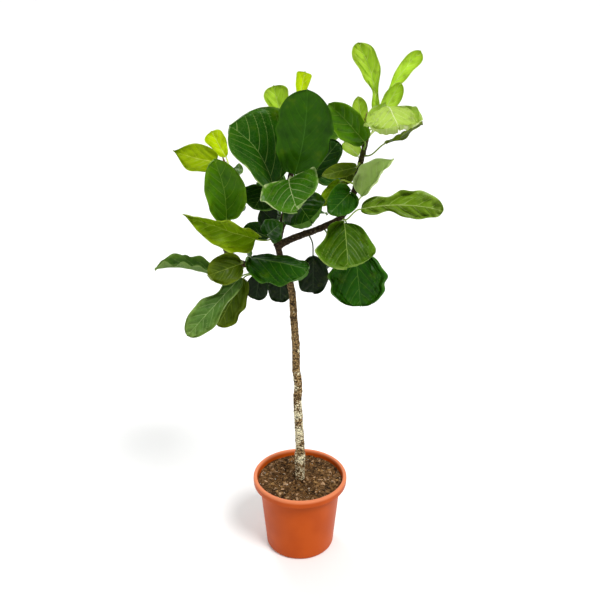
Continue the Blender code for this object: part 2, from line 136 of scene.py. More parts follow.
# Each outline: where it is widest, how full its base is, how blunt its tip is, its waist.
Outline = namedtuple("Outline", "widest base tip waist")
OUTLINES = {
    "spoon": Outline(0.62, 2.2, 0.50, 0.00),
    "fiddle": Outline(0.66, 2.4, 0.50, 0.40),
    "round": Outline(0.50, 2.4, 0.50, 0.00),
    "egg": Outline(0.40, 2.4, 1.35, 0.00),
    "blunt": Outline(0.70, 2.4, 0.36, 0.00),
    "kite": Outline(0.57, 1.2, 0.60, 0.10),
    "trumpet": Outline(0.90, 1.1, 0.30, 0.20),
    "fan": Outline(0.78, 1.6, 0.42, 0.10),
    "paddle": Outline(0.82, 1.0, 0.60, 0.55),
}
WAIST_AT = 0.34
WAIST_SPAN = 0.16

# Each tone: the blade's heart, its margin and tip, its veins, and how crinkled it is.
Tone = namedtuple("Tone", "heart margin vein crinkle")
TONES = {
    "lemon": Tone("#dff208", "#c8de06", "#f0f890", 1.9),
    "lime": Tone("#cdea52", "#aecb30", "#ecf7a8", 2.1),
    "pale": Tone("#d2ea70", "#b8d63c", "#f4f9c8", 1.8),
    "gold": Tone("#b4cc06", "#98b404", "#d0dc40", 1.9),
    "moss": Tone("#8cb002", "#a4bc08", "#c4d850", 1.9),
    "celery": Tone("#c2dc80", "#c4dc86", "#e0eeb4", 1.4),
    "fern": Tone("#6f9218", "#86a434", "#b8cc70", 2.6),
    "ribbed": Tone("#3c6202", "#5e8a08", "#9cb850", 1.5),
    "mid": Tone("#437402", "#5c8a06", "#86ac34", 1.0),
    "green": Tone("#316202", "#386804", "#437808", 0.6),
    "deep": Tone("#235a00", "#386c06", "#a8c268", 1.0),
    "veined": Tone("#356c02", "#52880e", "#d4e4a0", 0.8),
    "dark": Tone("#174002", "#285604", "#6c9034", 1.0),
    "shade": Tone("#0d2202", "#152e02", "#264408", 1.2),
    "glossy": Tone("#1e5200", "#306806", "#628c2c", 1.5),
    "olive": Tone("#4c6404", "#6a7c0c", "#8fa434", 1.6),
    "sage": Tone("#5c8434", "#84a448", "#aac478", 2.2),
}

LEAF_ROWS = {
    "centre": [
        (0.66, (-12, -74, 1116), (16, -106, 1310), 130, 0, (12, 12), 0.04, 0.04, 0.02, "spoon", "green"),
        (0.50, (-66, -35, 1080), (-162, -75, 1227), 214, 14, (50, 6), 0.09, 0.05, 0.02, "blunt", "deep"),
        (0.58, (-26, -104, 1106), (-6, -238, 1070), 134, 8, (8, 8), 0.0, 0.10, 0.03, "round", "veined"),
        (0.42, (-84, -58, 1072), (-108, -110, 1040), 92, 0, (10, 10), 0.0, 0.08, 0.03, "spoon", "dark"),
        (0.36, (-5, -65, 1040), (28, -175, 1022), 112, 0, (5, 5), 0.0, 0.10, 0.03, "spoon", "dark"),
        (0.62, (30, 10, 1092), (96, 45, 1170), 72, -10, (15, 15), 0.0, 0.06, 0.02, "round", "dark"),
        (0.28, (-98, 16, 1008), (-62, -6, 980), 60, 20, (10, 10), 0.0, 0.06, 0.02, "spoon", "shade"),
        (0.86, (-42, 90, 1205), (-66, 100, 1300), 72, 0, (35, 25), 0.0, -0.04, 0.05, "fan", "lime"),
        (0.95, (-4, 110, 1255), (12, 120, 1332), 42, 0, (20, 20), 0.0, -0.04, 0.04, "trumpet", "lemon"),
        (0.10, (-107, -85, 958), (-266, -170, 1042), 88, -15, (20, 45), 0.0, 0.06, 0.03, "egg", "moss"),
        (0.20, (-80, -40, 956), (-44, -108, 1006), 64, 0, (12, 12), 0.0, 0.04, 0.03, "round", "glossy"),
        (0.80, (40, 75, 1180), (95, 150, 1205), 85, 0, (10, 10), 0.0, 0.08, 0.03, "spoon", "mid"),
        (0.74, (-60, 60, 1150), (-145, 120, 1175), 95, 0, (12, 12), 0.0, 0.08, 0.03, "spoon", "mid"),
    ],
    "left": [
        (0.72, (-176, -90, 1010), (-196, -120, 1158), 100, 20, (16, 30), 0.04, 0.05, 0.03, "round", "mid"),
        (0.96, (-208, 30, 1124), (-312, 20, 1153), 72, 0, (12, 12), -0.04, 0.06, 0.06, "egg", "gold"),
        (0.98, (-186, 45, 1134), (-220, 50, 1196), 52, 0, (12, 25), 0.0, -0.04, 0.06, "fan", "lemon"),
        (0.44, (-145, -88, 896), (-222, -130, 880), 75, 0, (10, 10), 0.0, 0.10, 0.02, "round", "olive"),
        (0.38, (-212, -20, 842), (-368, -30, 862), 68, 50, (60, 50), 0.03, 0.06, 0.03, "round", "sage"),
        (0.28, (-150, -58, 850), (-280, -130, 722), 70, 0, (12, 12), 0.0, 0.08, 0.05, "fiddle", "sage"),
        (0.22, (-146, -10, 830), (-213, -45, 712), 80, 0, (10, 10), 0.0, 0.06, 0.05, "spoon", "olive"),
        (0.14, (-105, 15, 835), (-118, 30, 757), 58, 0, (10, 10), 0.0, 0.06, 0.02, "round", "shade"),
        (0.34, (-122, -80, 910), (20, -134, 896), 135, -28, (-48, 4), 0.0, 0.05, 0.03, "round", "glossy"),
        (0.62, (-200, 20, 985), (-190, 125, 990), 100, 0, (10, 10), 0.0, 0.10, 0.03, "spoon", "dark"),
        (0.84, (-160, 30, 1060), (-190, 130, 1065), 95, 0, (12, 12), 0.0, 0.08, 0.03, "spoon", "mid"),
        (0.26, (-130, 45, 870), (-135, 145, 840), 95, 0, (10, 10), 0.0, 0.10, 0.03, "spoon", "deep"),
    ],
    "right": [
        (0.82, (153, -35, 1185), (66, -85, 1278), 78, 0, (10, 45), 0.0, 0.05, 0.04, "spoon", "mid"),
        (0.97, (140, -15, 1213), (106, -25, 1264), 36, 0, (25, 25), 0.0, 0.0, 0.12, "round", "lime"),
        (0.98, (150, 18, 1222), (138, 10, 1283), 42, 0, (25, 25), 0.0, 0.0, 0.12, "round", "lime"),
        (0.95, (182, 20, 1228), (136, 30, 1404), 64, -20, (50, 20), 0.08, -0.04, 0.05, "paddle", "lime"),
        (0.93, (190, -5, 1232), (235, -20, 1318), 42, 10, (25, 25), 0.0, -0.04, 0.04, "spoon", "lime"),
        (0.91, (190, 30, 1238), (287, 45, 1385), 45, 10, (30, 30), -0.05, -0.03, 0.04, "paddle", "lime"),
        (0.96, (203, -42, 1266), (213, -190, 1236), 140, 0, (-16, -16), 0.0, 0.08, 0.03, "round", "pale"),
        (0.78, (205, -20, 1178), (285, -50, 1232), 66, 86, (2, 2), 0.0, 0.02, 0.02, "spoon", "olive"),
        (0.70, (144, 30, 1139), (111, 65, 1167), 40, 20, (10, 10), 0.0, 0.05, 0.04, "round", "pale"),
        (0.52, (150, -40, 1054), (224, -35, 1143), 90, -40, (42, 42), 0.0, 0.03, 0.02, "egg", "celery"),
        (0.44, (150, -35, 1020), (347, -60, 1022), 80, 0, (-12, -42), -0.06, 0.04, 0.14, "fiddle", "fern"),
        (0.40, (108, -60, 993), (114, -150, 908), 150, 0, (-12, -12), 0.0, 0.10, 0.03, "kite", "ribbed"),
        (0.34, (140, -25, 902), (156, -45, 768), 154, 0, (28, 12), 0.0, 0.06, 0.03, "round", "glossy"),
        (0.62, (96, -40, 1090), (50, -100, 1044), 36, 0, (20, 20), 0.0, 0.05, 0.04, "spoon", "moss"),
        (0.56, (120, -58, 1066), (70, -130, 1034), 75, 0, (10, 10), 0.0, 0.08, 0.03, "round", "glossy"),
        (0.73, (135, -30, 1122), (52, -90, 1114), 36, 0, (20, 20), 0.0, 0.06, 0.04, "spoon", "olive"),
        (0.66, (120, 20, 1112), (112, -5, 1074), 40, 0, (15, 15), 0.0, 0.06, 0.04, "round", "olive"),
        (0.22, (34, 25, 880), (35, 45, 770), 82, 0, (12, 12), 0.0, 0.06, 0.02, "round", "shade"),
        (0.44, (125, 35, 925), (135, 125, 880), 90, 0, (12, 12), 0.0, 0.08, 0.03, "spoon", "dark"),
        (0.32, (92, 35, 880), (98, 125, 828), 90, 0, (10, 10), 0.0, 0.10, 0.03, "spoon", "dark"),
    ],
    "trunk": [
        (0.96, (-80, 38, 926), (-150, 75, 936), 55, 30, (10, 10), 0.0, 0.08, 0.02, "spoon", "dark"),
        (0.88, (-50, 40, 845), (-54, 60, 738), 70, 0, (12, 12), 0.0, 0.06, 0.02, "round", "shade"),
    ],
    "back": [
        (0.94, (45, 160, 1142), (75, 250, 1200), 95, 0, (15, 15), 0.0, 0.06, 0.03, "spoon", "mid"),
        (0.92, (-20, 170, 1125), (-85, 245, 1160), 100, 0, (12, 12), 0.0, 0.08, 0.03, "spoon", "mid"),
        (0.72, (38, 145, 1060), (105, 230, 1060), 112, 0, (10, 10), 0.0, 0.10, 0.03, "fiddle", "deep"),
        (0.60, (-40, 130, 1040), (-115, 205, 1035), 110, 0, (10, 10), 0.0, 0.10, 0.03, "fiddle", "deep"),
        (0.45, (15, 100, 990), (25, 210, 965), 105, 0, (10, 10), 0.0, 0.10, 0.03, "spoon", "deep"),
        (0.30, (-50, 75, 975), (-65, 175, 945), 100, 0, (10, 10), 0.0, 0.10, 0.03, "spoon", "dark"),
    ],
}
LEAVES = {limb: [Leaf(*row) for row in rows] for limb, rows in LEAF_ROWS.items()}


# ---------------------------------------------------------- colours and nodes
def linear(hex_colour):
    """An sRGB hex colour as linear RGBA."""
    parts = [int(hex_colour[i : i + 2], 16) / 255 for i in (1, 3, 5)]
    return (*[c / 12.92 if c <= 0.04045 else ((c + 0.055) / 1.055) ** 2.4 for c in parts], 1.0)


def add(tree, kind, inputs=(), **settings):
    """A shader node with its settings. An input takes a value, a socket, or a node's first output."""
    made = tree.nodes.new("ShaderNode" + kind)
    for name, value in settings.items():
        setattr(made, name, value)
    for name, value in inputs.items() if isinstance(inputs, dict) else enumerate(inputs):
        if isinstance(value, bpy.types.Node):
            value = next(socket for socket in value.outputs if socket.enabled)
        if isinstance(value, bpy.types.NodeSocket):
            tree.links.new(value, made.inputs[name])
        else:
            made.inputs[name].default_value = value
    return made


EASED = {"interpolation_type": "SMOOTHSTEP"}
TIMES = {"operation": "MULTIPLY"}
TINT = {"data_type": "RGBA"}


def coats(tree, colour, *layers):
    """Colours laid one over another, each through its mask."""
    for mask, over in layers:
        colour = add(tree, "Mix", {0: mask, 6: colour, 7: over}, **TINT)
    return colour


def finish_surface(tree, look, height=None, strength=0.0, depth=0.0, light_through=0.0):
    """The surface with its relief, and the light that comes through it from behind."""
    if height is not None:
        look["Normal"] = add(tree, "Bump", {"Height": height, "Strength": strength, "Distance": depth})
    skin = add(tree, "BsdfPrincipled", look)
    if light_through:
        through = add(tree, "BsdfTranslucent", {"Color": look["Base Color"]})
        skin = add(tree, "MixShader", [light_through, skin, through])
    add(tree, "OutputMaterial", {"Surface": skin})


def blank_material(name):
    """A new material and its empty node tree."""
    material = bpy.data.materials.new(name)
    material.use_nodes = True
    material.node_tree.nodes.clear()
    return material, material.node_tree


# ------------------------------------------------------------- mesh from sheets
class Skin:
    """Collects sheets and tubes of points, then makes them one smooth mesh."""

    def __init__(self):
        self.points = []
        self.faces = []
        self.slots = []
        self.layers = {}

    def extend(self, points, faces, slot, **layers):
        """Adds points and faces. Each layer holds a row of values for every point."""
        start = sum(len(block) for block in self.points)
        self.points.append(np.asarray(points, float).reshape(-1, 3))
        self.faces += [tuple(start + int(i) for i in face) for face in faces]
        self.slots += [slot] * len(faces)
        for name, values in layers.items():
            self.layers.setdefault(name, []).append(np.asarray(values, float))
        return start

    def make(self, name, materials, crease=math.radians(60)):
        mesh = bpy.data.meshes.new(name)
        mesh.from_pydata(np.concatenate(self.points).tolist(), [], self.faces)
        mesh.polygons.foreach_set("material_index", self.slots)
        for layer, blocks in self.layers.items():
            values = np.concatenate(blocks)
            kind, field = ("FLOAT_COLOR", "color") if values.shape[1] == 4 else ("FLOAT_VECTOR", "vector")
            mesh.attributes.new(layer, kind, "POINT").data.foreach_set(field, values.ravel())
        for material in materials:
            mesh.materials.append(material)
        mesh.shade_smooth()
        mesh.set_sharp_from_angle(angle=crease)
        obj = bpy.data.objects.new(name, mesh)
        bpy.context.scene.collection.objects.link(obj)
        return obj


def sheet_faces(rows, columns):
    """Quads of a grid of points, facing the side from which rows run up and columns run right."""
    return [
        (r * columns + c, r * columns + c + 1, (r + 1) * columns + c + 1, (r + 1) * columns + c)
        for r in range(rows - 1)
        for c in range(columns - 1)
    ]


def tube_faces(rings, sides):
    """Quads round a tube, and a cap at each end."""
    faces = []
    for k in range(rings - 1):
        for s in range(sides):
            n = (s + 1) % sides
            faces.append((k * sides + s, k * sides + n, (k + 1) * sides + n, (k + 1) * sides + s))
    faces.append(tuple(reversed(range(sides))))
    faces.append(tuple(range((rings - 1) * sides, rings * sides)))
    return faces


def unit(vectors):
    return vectors / np.maximum(np.linalg.norm(vectors, axis=-1, keepdims=True), 1e-12)


def tube_points(path, radii, sides):
    """Rings round a path, with frames carried along it. radii holds one radius a ring, or one a point."""
    path = np.asarray(path, float)
    headings = unit(np.gradient(path, axis=0))
    radii = np.asarray(radii, float)
    radii = np.broadcast_to(radii if radii.ndim == 2 else radii.reshape(-1, 1), (len(path), sides))
    angles = np.linspace(0, math.tau, sides, endpoint=False)
    across = np.array([1.0, 0.0, 0.0]) if abs(headings[0][0]) < 0.9 else np.array([0.0, 1.0, 0.0])
    rings = []
    for centre, heading, radius in zip(path, headings, radii):
        across = unit(across - heading * across.dot(heading))
        up = np.cross(heading, across)
        ring = np.outer(np.cos(angles), across) + np.outer(np.sin(angles), up)
        rings.append(centre + ring * radius[:, None])
    return np.array(rings)


def smooth_point(points, place):
    """A point at place (0 to 1) of the smooth curve that passes through the points."""
    spans = len(points) - 1
    along = min(max(place, 0.0), 1.0) * spans
    i = min(int(along), spans - 1)
    u = along - i
    p1, p2 = Vector(points[i]), Vector(points[i + 1])
    p0 = Vector(points[i - 1]) if i else 2 * p1 - p2
    p3 = Vector(points[i + 2]) if i + 2 <= spans else 2 * p2 - p1
    bend = (2 * p0 - 5 * p1 + 4 * p2 - p3) * u * u + (3 * p1 - p0 - 3 * p2 + p3) * u**3
    return 0.5 * (2 * p1 + (p2 - p0) * u + bend)


def limb_point(limb, place):
    return smooth_point(LIMBS[limb].route, place)


def limb_tangent(limb, place):
    step = 0.01
    return (limb_point(limb, place + step) - limb_point(limb, place - step)).normalized()


def limb_radius(limb, place):
    return LIMBS[limb].thick + (LIMBS[limb].thin - LIMBS[limb].thick) * place


# --------------------------------------------------------------- leaf materials
# A fig blade is a waxed, leathery skin over green flesh, netted with pale veins.
SIDE_VEIN_WIDTH = 0.034  # of the gap between two side veins
NET_CELL = 9 * MM
BLADE_THICKNESS = 0.7 * MM


def own_colours(tree):
    """The leaf's own colour and its veins' colour."""
    names = ("tone", "vein_tone")
    return [add(tree, "Attribute", attribute_name=name).outputs["Color"] for name in names]


def blade_veins(tree):
    """Where the side veins and the fine net run, as two masks, and the places across the blade."""
    place = add(tree, "Attribute", attribute_name="vein_place").outputs["Vector"]
    phase, reach = add(tree, "SeparateXYZ", [place]).outputs[:2]
    beside = add(tree, "Math", [phase, 0.5], operation="PINGPONG")
    width = add(tree, "MapRange", [reach, 0.0, 1.0, SIDE_VEIN_WIDTH, 0.25 * SIDE_VEIN_WIDTH])
    near = add(tree, "Math", [beside, width], operation="DIVIDE")
    side = add(tree, "MapRange", [near, 0.4, 1.5, 1.0, 0.0], **EASED)
    fade = add(tree, "MapRange", [reach, 0.70, 0.96, 1.0, 0.0], **EASED)
    side = add(tree, "Math", [side, fade], **TIMES)
    flat = add(tree, "Attribute", attribute_name="blade_place").outputs["Vector"]
    cells = {"Vector": flat, "Scale": 1 / NET_CELL, "Randomness": 0.9}
    net = add(tree, "TexVoronoi", cells, feature="DISTANCE_TO_EDGE")
    net = add(tree, "MapRange", [net, 0.0, 0.07, 1.0, 0.0], **EASED)
    return side, net, flat, reach


def waxed_upper_blade(name, light_through):
    """The upper skin: waxed, so it is satin with soft highlights. The eye sees deep green
    that pales along the veins, clouds a little, and breaks its sheen over the net."""
    material, tree = blank_material(name)
    tone, vein = own_colours(tree)
    side, net, flat, reach = blade_veins(tree)
    cloud = add(tree, "TexNoise", {"Vector": flat, "Scale": 1 / (38 * MM), "Detail": 3.0})
    # Pale band along the margin: partly the paler underside showing where the edge rolls, partly a painted
    # highlight where the rolled edge catches the light.
    rim = add(tree, "MapRange", [reach, 0.92, 0.985, 0.0, 0.9], **EASED)
    broken = add(tree, "TexNoise", {"Vector": flat, "Scale": 1 / (22 * MM), "Detail": 1.0})
    broken = add(tree, "MapRange", [broken, 0.42, 0.60, 0.15, 1.0], **EASED)
    colour = coats(
        tree,
        tone,
        (add(tree, "MapRange", [cloud, 0.48, 0.72, 0.0, 0.45], **EASED), linear("#0f3404")),
        (add(tree, "MapRange", [cloud, 0.46, 0.26, 0.0, 0.20], **EASED), linear("#87a004")),
        (add(tree, "Math", [net, 0.08], **TIMES), vein),
        (add(tree, "Math", [side, 0.58], **TIMES), vein),
        # pale margin band, partly a painted highlight on the rolled edge
        (add(tree, "Math", [rim, broken], **TIMES), vein),
    )
    grain = add(tree, "TexNoise", {"Vector": flat, "Scale": 1 / (0.9 * MM), "Detail": 2.0})
    grain = add(tree, "Math", [grain, 0.12], **TIMES)
    height = add(tree, "Math", [net, -0.45, grain], operation="MULTIPLY_ADD")
    height = add(tree, "Math", [height, side], operation="SUBTRACT")
    look = {
        "Base Color": colour,
        "Roughness": add(tree, "MapRange", [cloud, 0.3, 0.7, 0.34, 0.50]),
        "Specular IOR Level": 0.10,
        "Coat Weight": 0.07,
        "Coat Roughness": 0.18,
    }
    finish_surface(tree, look, height, 0.55, 0.5 * MM, light_through)
    return material


def felted_under_blade(name, light_through):
    """The underside: unwaxed and paler, so it is matt. The eye sees grey-green between
    side veins that stand up as pale ribs."""
    material, tree = blank_material(name)
    tone, vein = own_colours(tree)
    side, net, flat, _ = blade_veins(tree)
    cloud = add(tree, "TexNoise", {"Vector": flat, "Scale": 1 / (30 * MM), "Detail": 3.0})
    colour = coats(
        tree,
        tone,
        (0.30, vein),
        (add(tree, "MapRange", [cloud, 0.4, 0.75, 0.0, 0.3], **EASED), tone),
        (add(tree, "Math", [net, 0.35], **TIMES), vein),
        (add(tree, "Math", [side, 0.8], **TIMES), vein),
    )
    height = add(tree, "Math", [net, 0.5, side], operation="MULTIPLY_ADD")
    look = {"Base Color": colour, "Roughness": 0.62, "Specular IOR Level": 0.15}
    finish_surface(tree, look, height, 0.6, 0.8 * MM, light_through)
    return material


def horny_margin():
    """The blade's edge: hard and nearly colourless, so it draws a thin pale line round the leaf."""
    material, tree = blank_material("horny_margin")
    tone, vein = own_colours(tree)
    look = {"Base Color": coats(tree, tone, (0.7, vein)), "Roughness": 0.45}
    finish_surface(tree, look, light_through=0.35)
    return material


def ribbed_petiole():
    """Petiole and midrib: a tough stalk, smooth and faintly ribbed along its length. The eye
    sees pale green with brown flecks and a soft line of light."""
    material, tree = blank_material("ribbed_petiole")
    tone, vein = own_colours(tree)
    flat = add(tree, "Attribute", attribute_name="blade_place").outputs["Vector"]
    cork = add(tree, "TexNoise", {"Vector": flat, "Scale": 1 / (7 * MM), "Detail": 3.0})
    cork = add(tree, "MapRange", [cork, 0.56, 0.68, 0.0, 0.45], **EASED)
    colour = coats(tree, tone, (0.72, vein), (cork, linear("#5d5426")))
    drawn = add(tree, "Mapping", {"Vector": flat, "Scale": (1 / (0.8 * MM), 1 / (14 * MM), 1)})
    ribs = add(tree, "TexNoise", {"Vector": drawn, "Scale": 1.0, "Detail": 1.0})
    look = {"Base Color": colour, "Roughness": 0.42, "Specular IOR Level": 0.3}
    finish_surface(tree, look, ribs, 0.3, 0.3 * MM)
    return material


# ------------------------------------------------------------- leaf geometry
FRONT = Vector((0.0, -0.95, 0.30)).normalized()
PETIOLE_WIDTH = 4.5 * MM
STALK_RADIUS = PETIOLE_WIDTH * 0.42
STALK_SIDES = 10
MIDRIB_TIP_RADIUS = 0.35 * MM
SIDE_VEIN_GAP = 33 * MM
LEAST_SIDE_VEINS = 4
LOBE_DEPTH = 10 * MM  # how far the blade's base reaches back past its throat
TIP_POINT = 2.5 * MM
QUILT_DEPTH = 0.055  # of the gap between two side veins
MIDRIB_GROOVE = 0.9 * MM
EDGE_FLUTTER = 8 * MM
EDGE_ROLL = 4.5 * MM
BLADE_SWAY = 5 * MM
FULL_FORM_WIDTH = 40 * MM  # narrower blades ripple less


def blade_outline(t, shape):
    """Half width at t along the blade, as a part of the widest half width."""
    outline = OUTLINES[shape]
    before = np.clip(1.0 - np.abs(1.0 - t / outline.widest) ** outline.base, 0.0, 1.0) ** 0.5
    past = np.clip((t - outline.widest) / (1.0 - outline.widest), 0.0, 1.0)
    after = np.clip(1.0 - past**2.2, 0.0, 1.0) ** outline.tip
    fullness = np.where(t < outline.widest, before, after)
    return fullness * (1.0 - outline.waist * np.exp(-(((t - WAIST_AT) / WAIST_SPAN) ** 2)))


def leaf_frame(leaf):
    """Throat, direction to the tip, length, upper side's normal, and the side to its right."""
    throat = Vector(leaf.throat) * MM
    along = Vector(leaf.tip) * MM - throat
    length = along.length
    along.normalize()
    face = (FRONT - along * FRONT.dot(along)).normalized()
    side = along.cross(face)
    roll = math.radians(leaf.roll)
    normal = face * math.cos(roll) + side * math.sin(roll)
    return throat, along, length, normal, along.cross(normal)


def swell(chance, count, longest):
    """A smooth random field over the blade, as a sum of slow waves."""
    waves = []
    for _ in range(count):
        angle = chance.uniform(0, math.tau)
        wavelength = longest * chance.uniform(0.45, 1.0)
        start = chance.uniform(0, math.tau)
        waves.append((math.cos(angle) / wavelength, math.sin(angle) / wavelength, start))

    def height(x, y):
        return sum(np.sin(math.tau * (x * a + y * b) + c) for a, b, c in waves) / count

    return height


def blade_sheet(leaf, chance):
    """The upper skin's points, row by row, with its place along and across at each point."""
    throat, along, length, normal, side = leaf_frame(leaf)
    tone = TONES[leaf.tone]
    half_widest = leaf.width * MM / 2
    rows = int(np.clip(length / (2.8 * MM), 24, 72))
    columns = 2 * int(np.clip(half_widest / (3.2 * MM), 6, 16)) + 1
    even = np.linspace(0.0, 1.0, rows)
    t = 0.45 * even + 0.55 * (0.5 - 0.5 * np.cos(math.pi * even))
    t, q = np.meshgrid(t, np.linspace(-1.0, 1.0, columns), indexing="ij")
    reach = np.abs(q)

    half = half_widest * np.maximum(blade_outline(t, leaf.shape), 0.03)
    half = np.where(t < 0.5, np.maximum(half, PETIOLE_WIDTH / 2), half)
    nibble = swell(chance, 4, 85 * MM)
    down = length * t
    ruffle = 0.03 + 1.2 * leaf.wave + 0.035 * tone.crinkle
    half = half * (1 + ruffle * nibble(down, np.sign(q) * 0.5) * np.sin(math.pi * t))
    across = half * q

    spread = np.clip(2.2 * half / half_widest - 0.3, 0.0, 1.0)
    lobes = min(0.06 * length, LOBE_DEPTH) * np.exp(-t / 0.12) * reach**1.5 * spread
    point = TIP_POINT * np.exp(-((q / 0.25) ** 2)) * np.clip((t - 0.94) / 0.06, 0, 1)
    veins = max(LEAST_SIDE_VEINS, round(length / SIDE_VEIN_GAP))
    rise = 0.80 * np.abs(across) + 0.9 * across**2 / max(half_widest, 20 * MM)
    drift = swell(chance, 3, 200 * MM)
    phase = veins * (down - rise) / length + np.where(q < 0, 0.0, 0.35) + 0.25 * drift(across, down)

    bow = 4 * t * (1 - t) * length
    fold = np.radians(np.where(q < 0, leaf.fold[0], leaf.fold[1]))
    ripple = 2 * leaf.wave * half_widest * q * q * np.sin(math.tau * 1.5 * t + q)
    lift = half * reach * np.sin(fold) + ripple
    small = min(1.0, half_widest / FULL_FORM_WIDTH)
    quilt = QUILT_DEPTH * length / veins * tone.crinkle * small
    lift -= quilt * np.cos(math.tau * phase) * np.sin(math.pi * reach) ** 0.7
    lift -= MIDRIB_GROOVE * small * np.exp(-((across / (2.5 * MM)) ** 2)) * (1 - t)
    flutter = swell(chance, 3, 75 * MM)
    lift += EDGE_FLUTTER * small * tone.crinkle * reach**3 * flutter(down, 3 * q * half_widest)
    curl = swell(chance, 2, 150 * MM)
    rolled = np.clip((reach - 0.75) / 0.25, 0, 1) ** 2
    lift += EDGE_ROLL * small * (0.5 + curl(down, q * half_widest)) * rolled
    sway = swell(chance, 3, 140 * MM)
    lift += BLADE_SWAY * small * sway(across, down) * np.sin(math.pi * t)

    throat, along, normal, side = (np.array(v) for v in (throat, along, normal, side))
    spine = throat + along * (down - lobes + point)[..., None]
    spine = spine + (normal * leaf.arch + side * leaf.bend) * bow[..., None]
    points = spine + side * (across * np.cos(fold))[..., None] + normal * lift[..., None]
    return points, t, q, across, down, phase


def petiole_path(limb, leaf):
    """From just under the bark to the throat: out of the limb square, then into the blade's line."""
    throat, along, _, normal, _ = leaf_frame(leaf)
    axis_point = limb_point(limb, leaf.station)
    tangent = limb_tangent(limb, leaf.station)
    outward = throat - axis_point
    outward -= tangent * outward.dot(tangent)
    outward.normalize()
    start = axis_point + outward * (limb_radius(limb, leaf.station) - 1.5 * MM)
    leave = (along + normal * 4 * leaf.arch).normalized()
    reach = 0.4 * (throat - start).length
    bezier = [np.array(v) for v in (start, start + outward * reach, throat - leave * reach, throat)]
    t = np.linspace(0.0, 1.0, max(8, int((throat - start).length / (3 * MM))))[:, None]
    return sum(knot * math.comb(3, k) * (1 - t) ** (3 - k) * t**k for k, knot in enumerate(bezier))


def leaf_colours(leaf, t, q, chance):
    """The blade's colour at each point, from heart to margin, on a lighter or darker leaf."""
    tone = TONES[leaf.tone]
    edge = np.clip((np.abs(q) - 0.45) / 0.55, 0, 1) ** 2
    edge = np.clip(edge + np.clip((t - 0.72) / 0.28, 0, 1) ** 2, 0, 1)[..., None]
    colour = np.array(linear(tone.heart)) * (1 - edge) + np.array(linear(tone.margin)) * edge
    colour[..., :3] *= chance.uniform(0.9, 1.1)
    return colour


def make_leaf(name, limb, leaf, materials):
    """One leaf: a thin closed blade, and a stalk that runs on under it as the midrib."""
    chance = random.Random(name)
    top, t, q, across, down, phase = blade_sheet(leaf, chance)
    rows, columns = t.shape
    normals = unit(np.cross(np.gradient(top, axis=1), np.gradient(top, axis=0)))
    under = top - normals * (BLADE_THICKNESS * (1 - 0.5 * np.abs(q) ** 4))[..., None]
    colour = leaf_colours(leaf, t, q, chance)
    vein = np.broadcast_to(linear(TONES[leaf.tone].vein), colour.shape)
    layers = {
        "tone": colour.reshape(-1, 4),
        "vein_tone": vein.reshape(-1, 4),
        "vein_place": np.stack([phase, np.abs(q), t], -1).reshape(-1, 3),
        "blade_place": np.stack([across, down, 0 * t], -1).reshape(-1, 3),
    }
    skin = Skin()
    faces = sheet_faces(rows, columns)
    first = skin.extend(top, faces, 0, **layers)
    second = skin.extend(under, [tuple(reversed(face)) for face in faces], 1, **layers)
    border = list(range(columns))
    border += [r * columns + columns - 1 for r in range(1, rows)]
    border += [(rows - 1) * columns + c for c in range(columns - 2, -1, -1)]
    border += [r * columns for r in range(rows - 2, 0, -1)]
    for a, b in zip(border, border[1:] + border[:1]):
        skin.faces.append((first + b, first + a, second + a, second + b))
        skin.slots.append(2)

    stalk = petiole_path(limb, leaf)
    middle = columns // 2
    last = int(rows * 0.95)
    rib_radius = np.linspace(STALK_RADIUS, MIDRIB_TIP_RADIUS, last)[1:]
    sunk = 0.65 * rib_radius
    rib = top[1:last, middle] - normals[1:last, middle] * sunk[:, None]
    path = np.concatenate([stalk[:-1], rib])
    stalk_radius = STALK_RADIUS * (1 + 0.45 * np.exp(-np.arange(len(stalk) - 1) / 2.0))
    radii = np.concatenate([stalk_radius, rib_radius])
    rings = tube_points(path, radii, STALK_SIDES)
    run = np.concatenate([[0.0], np.cumsum(np.linalg.norm(np.diff(path, axis=0), axis=1))])
    turn = np.arange(STALK_SIDES) / STALK_SIDES * 12 * MM
    place = np.stack(np.broadcast_arrays(turn[None, :], run[:, None], 0.0), -1)
    count = len(path) * STALK_SIDES
    skin.extend(
        rings,
        tube_faces(len(path), STALK_SIDES),
        3,
        tone=np.broadcast_to(linear(TONES[leaf.tone].heart), (count, 4)),
        vein_tone=np.broadcast_to(linear(TONES[leaf.tone].vein), (count, 4)),
        vein_place=np.zeros((count, 3)),
        blade_place=place.reshape(-1, 3),
    )
    return skin.make(name, materials)


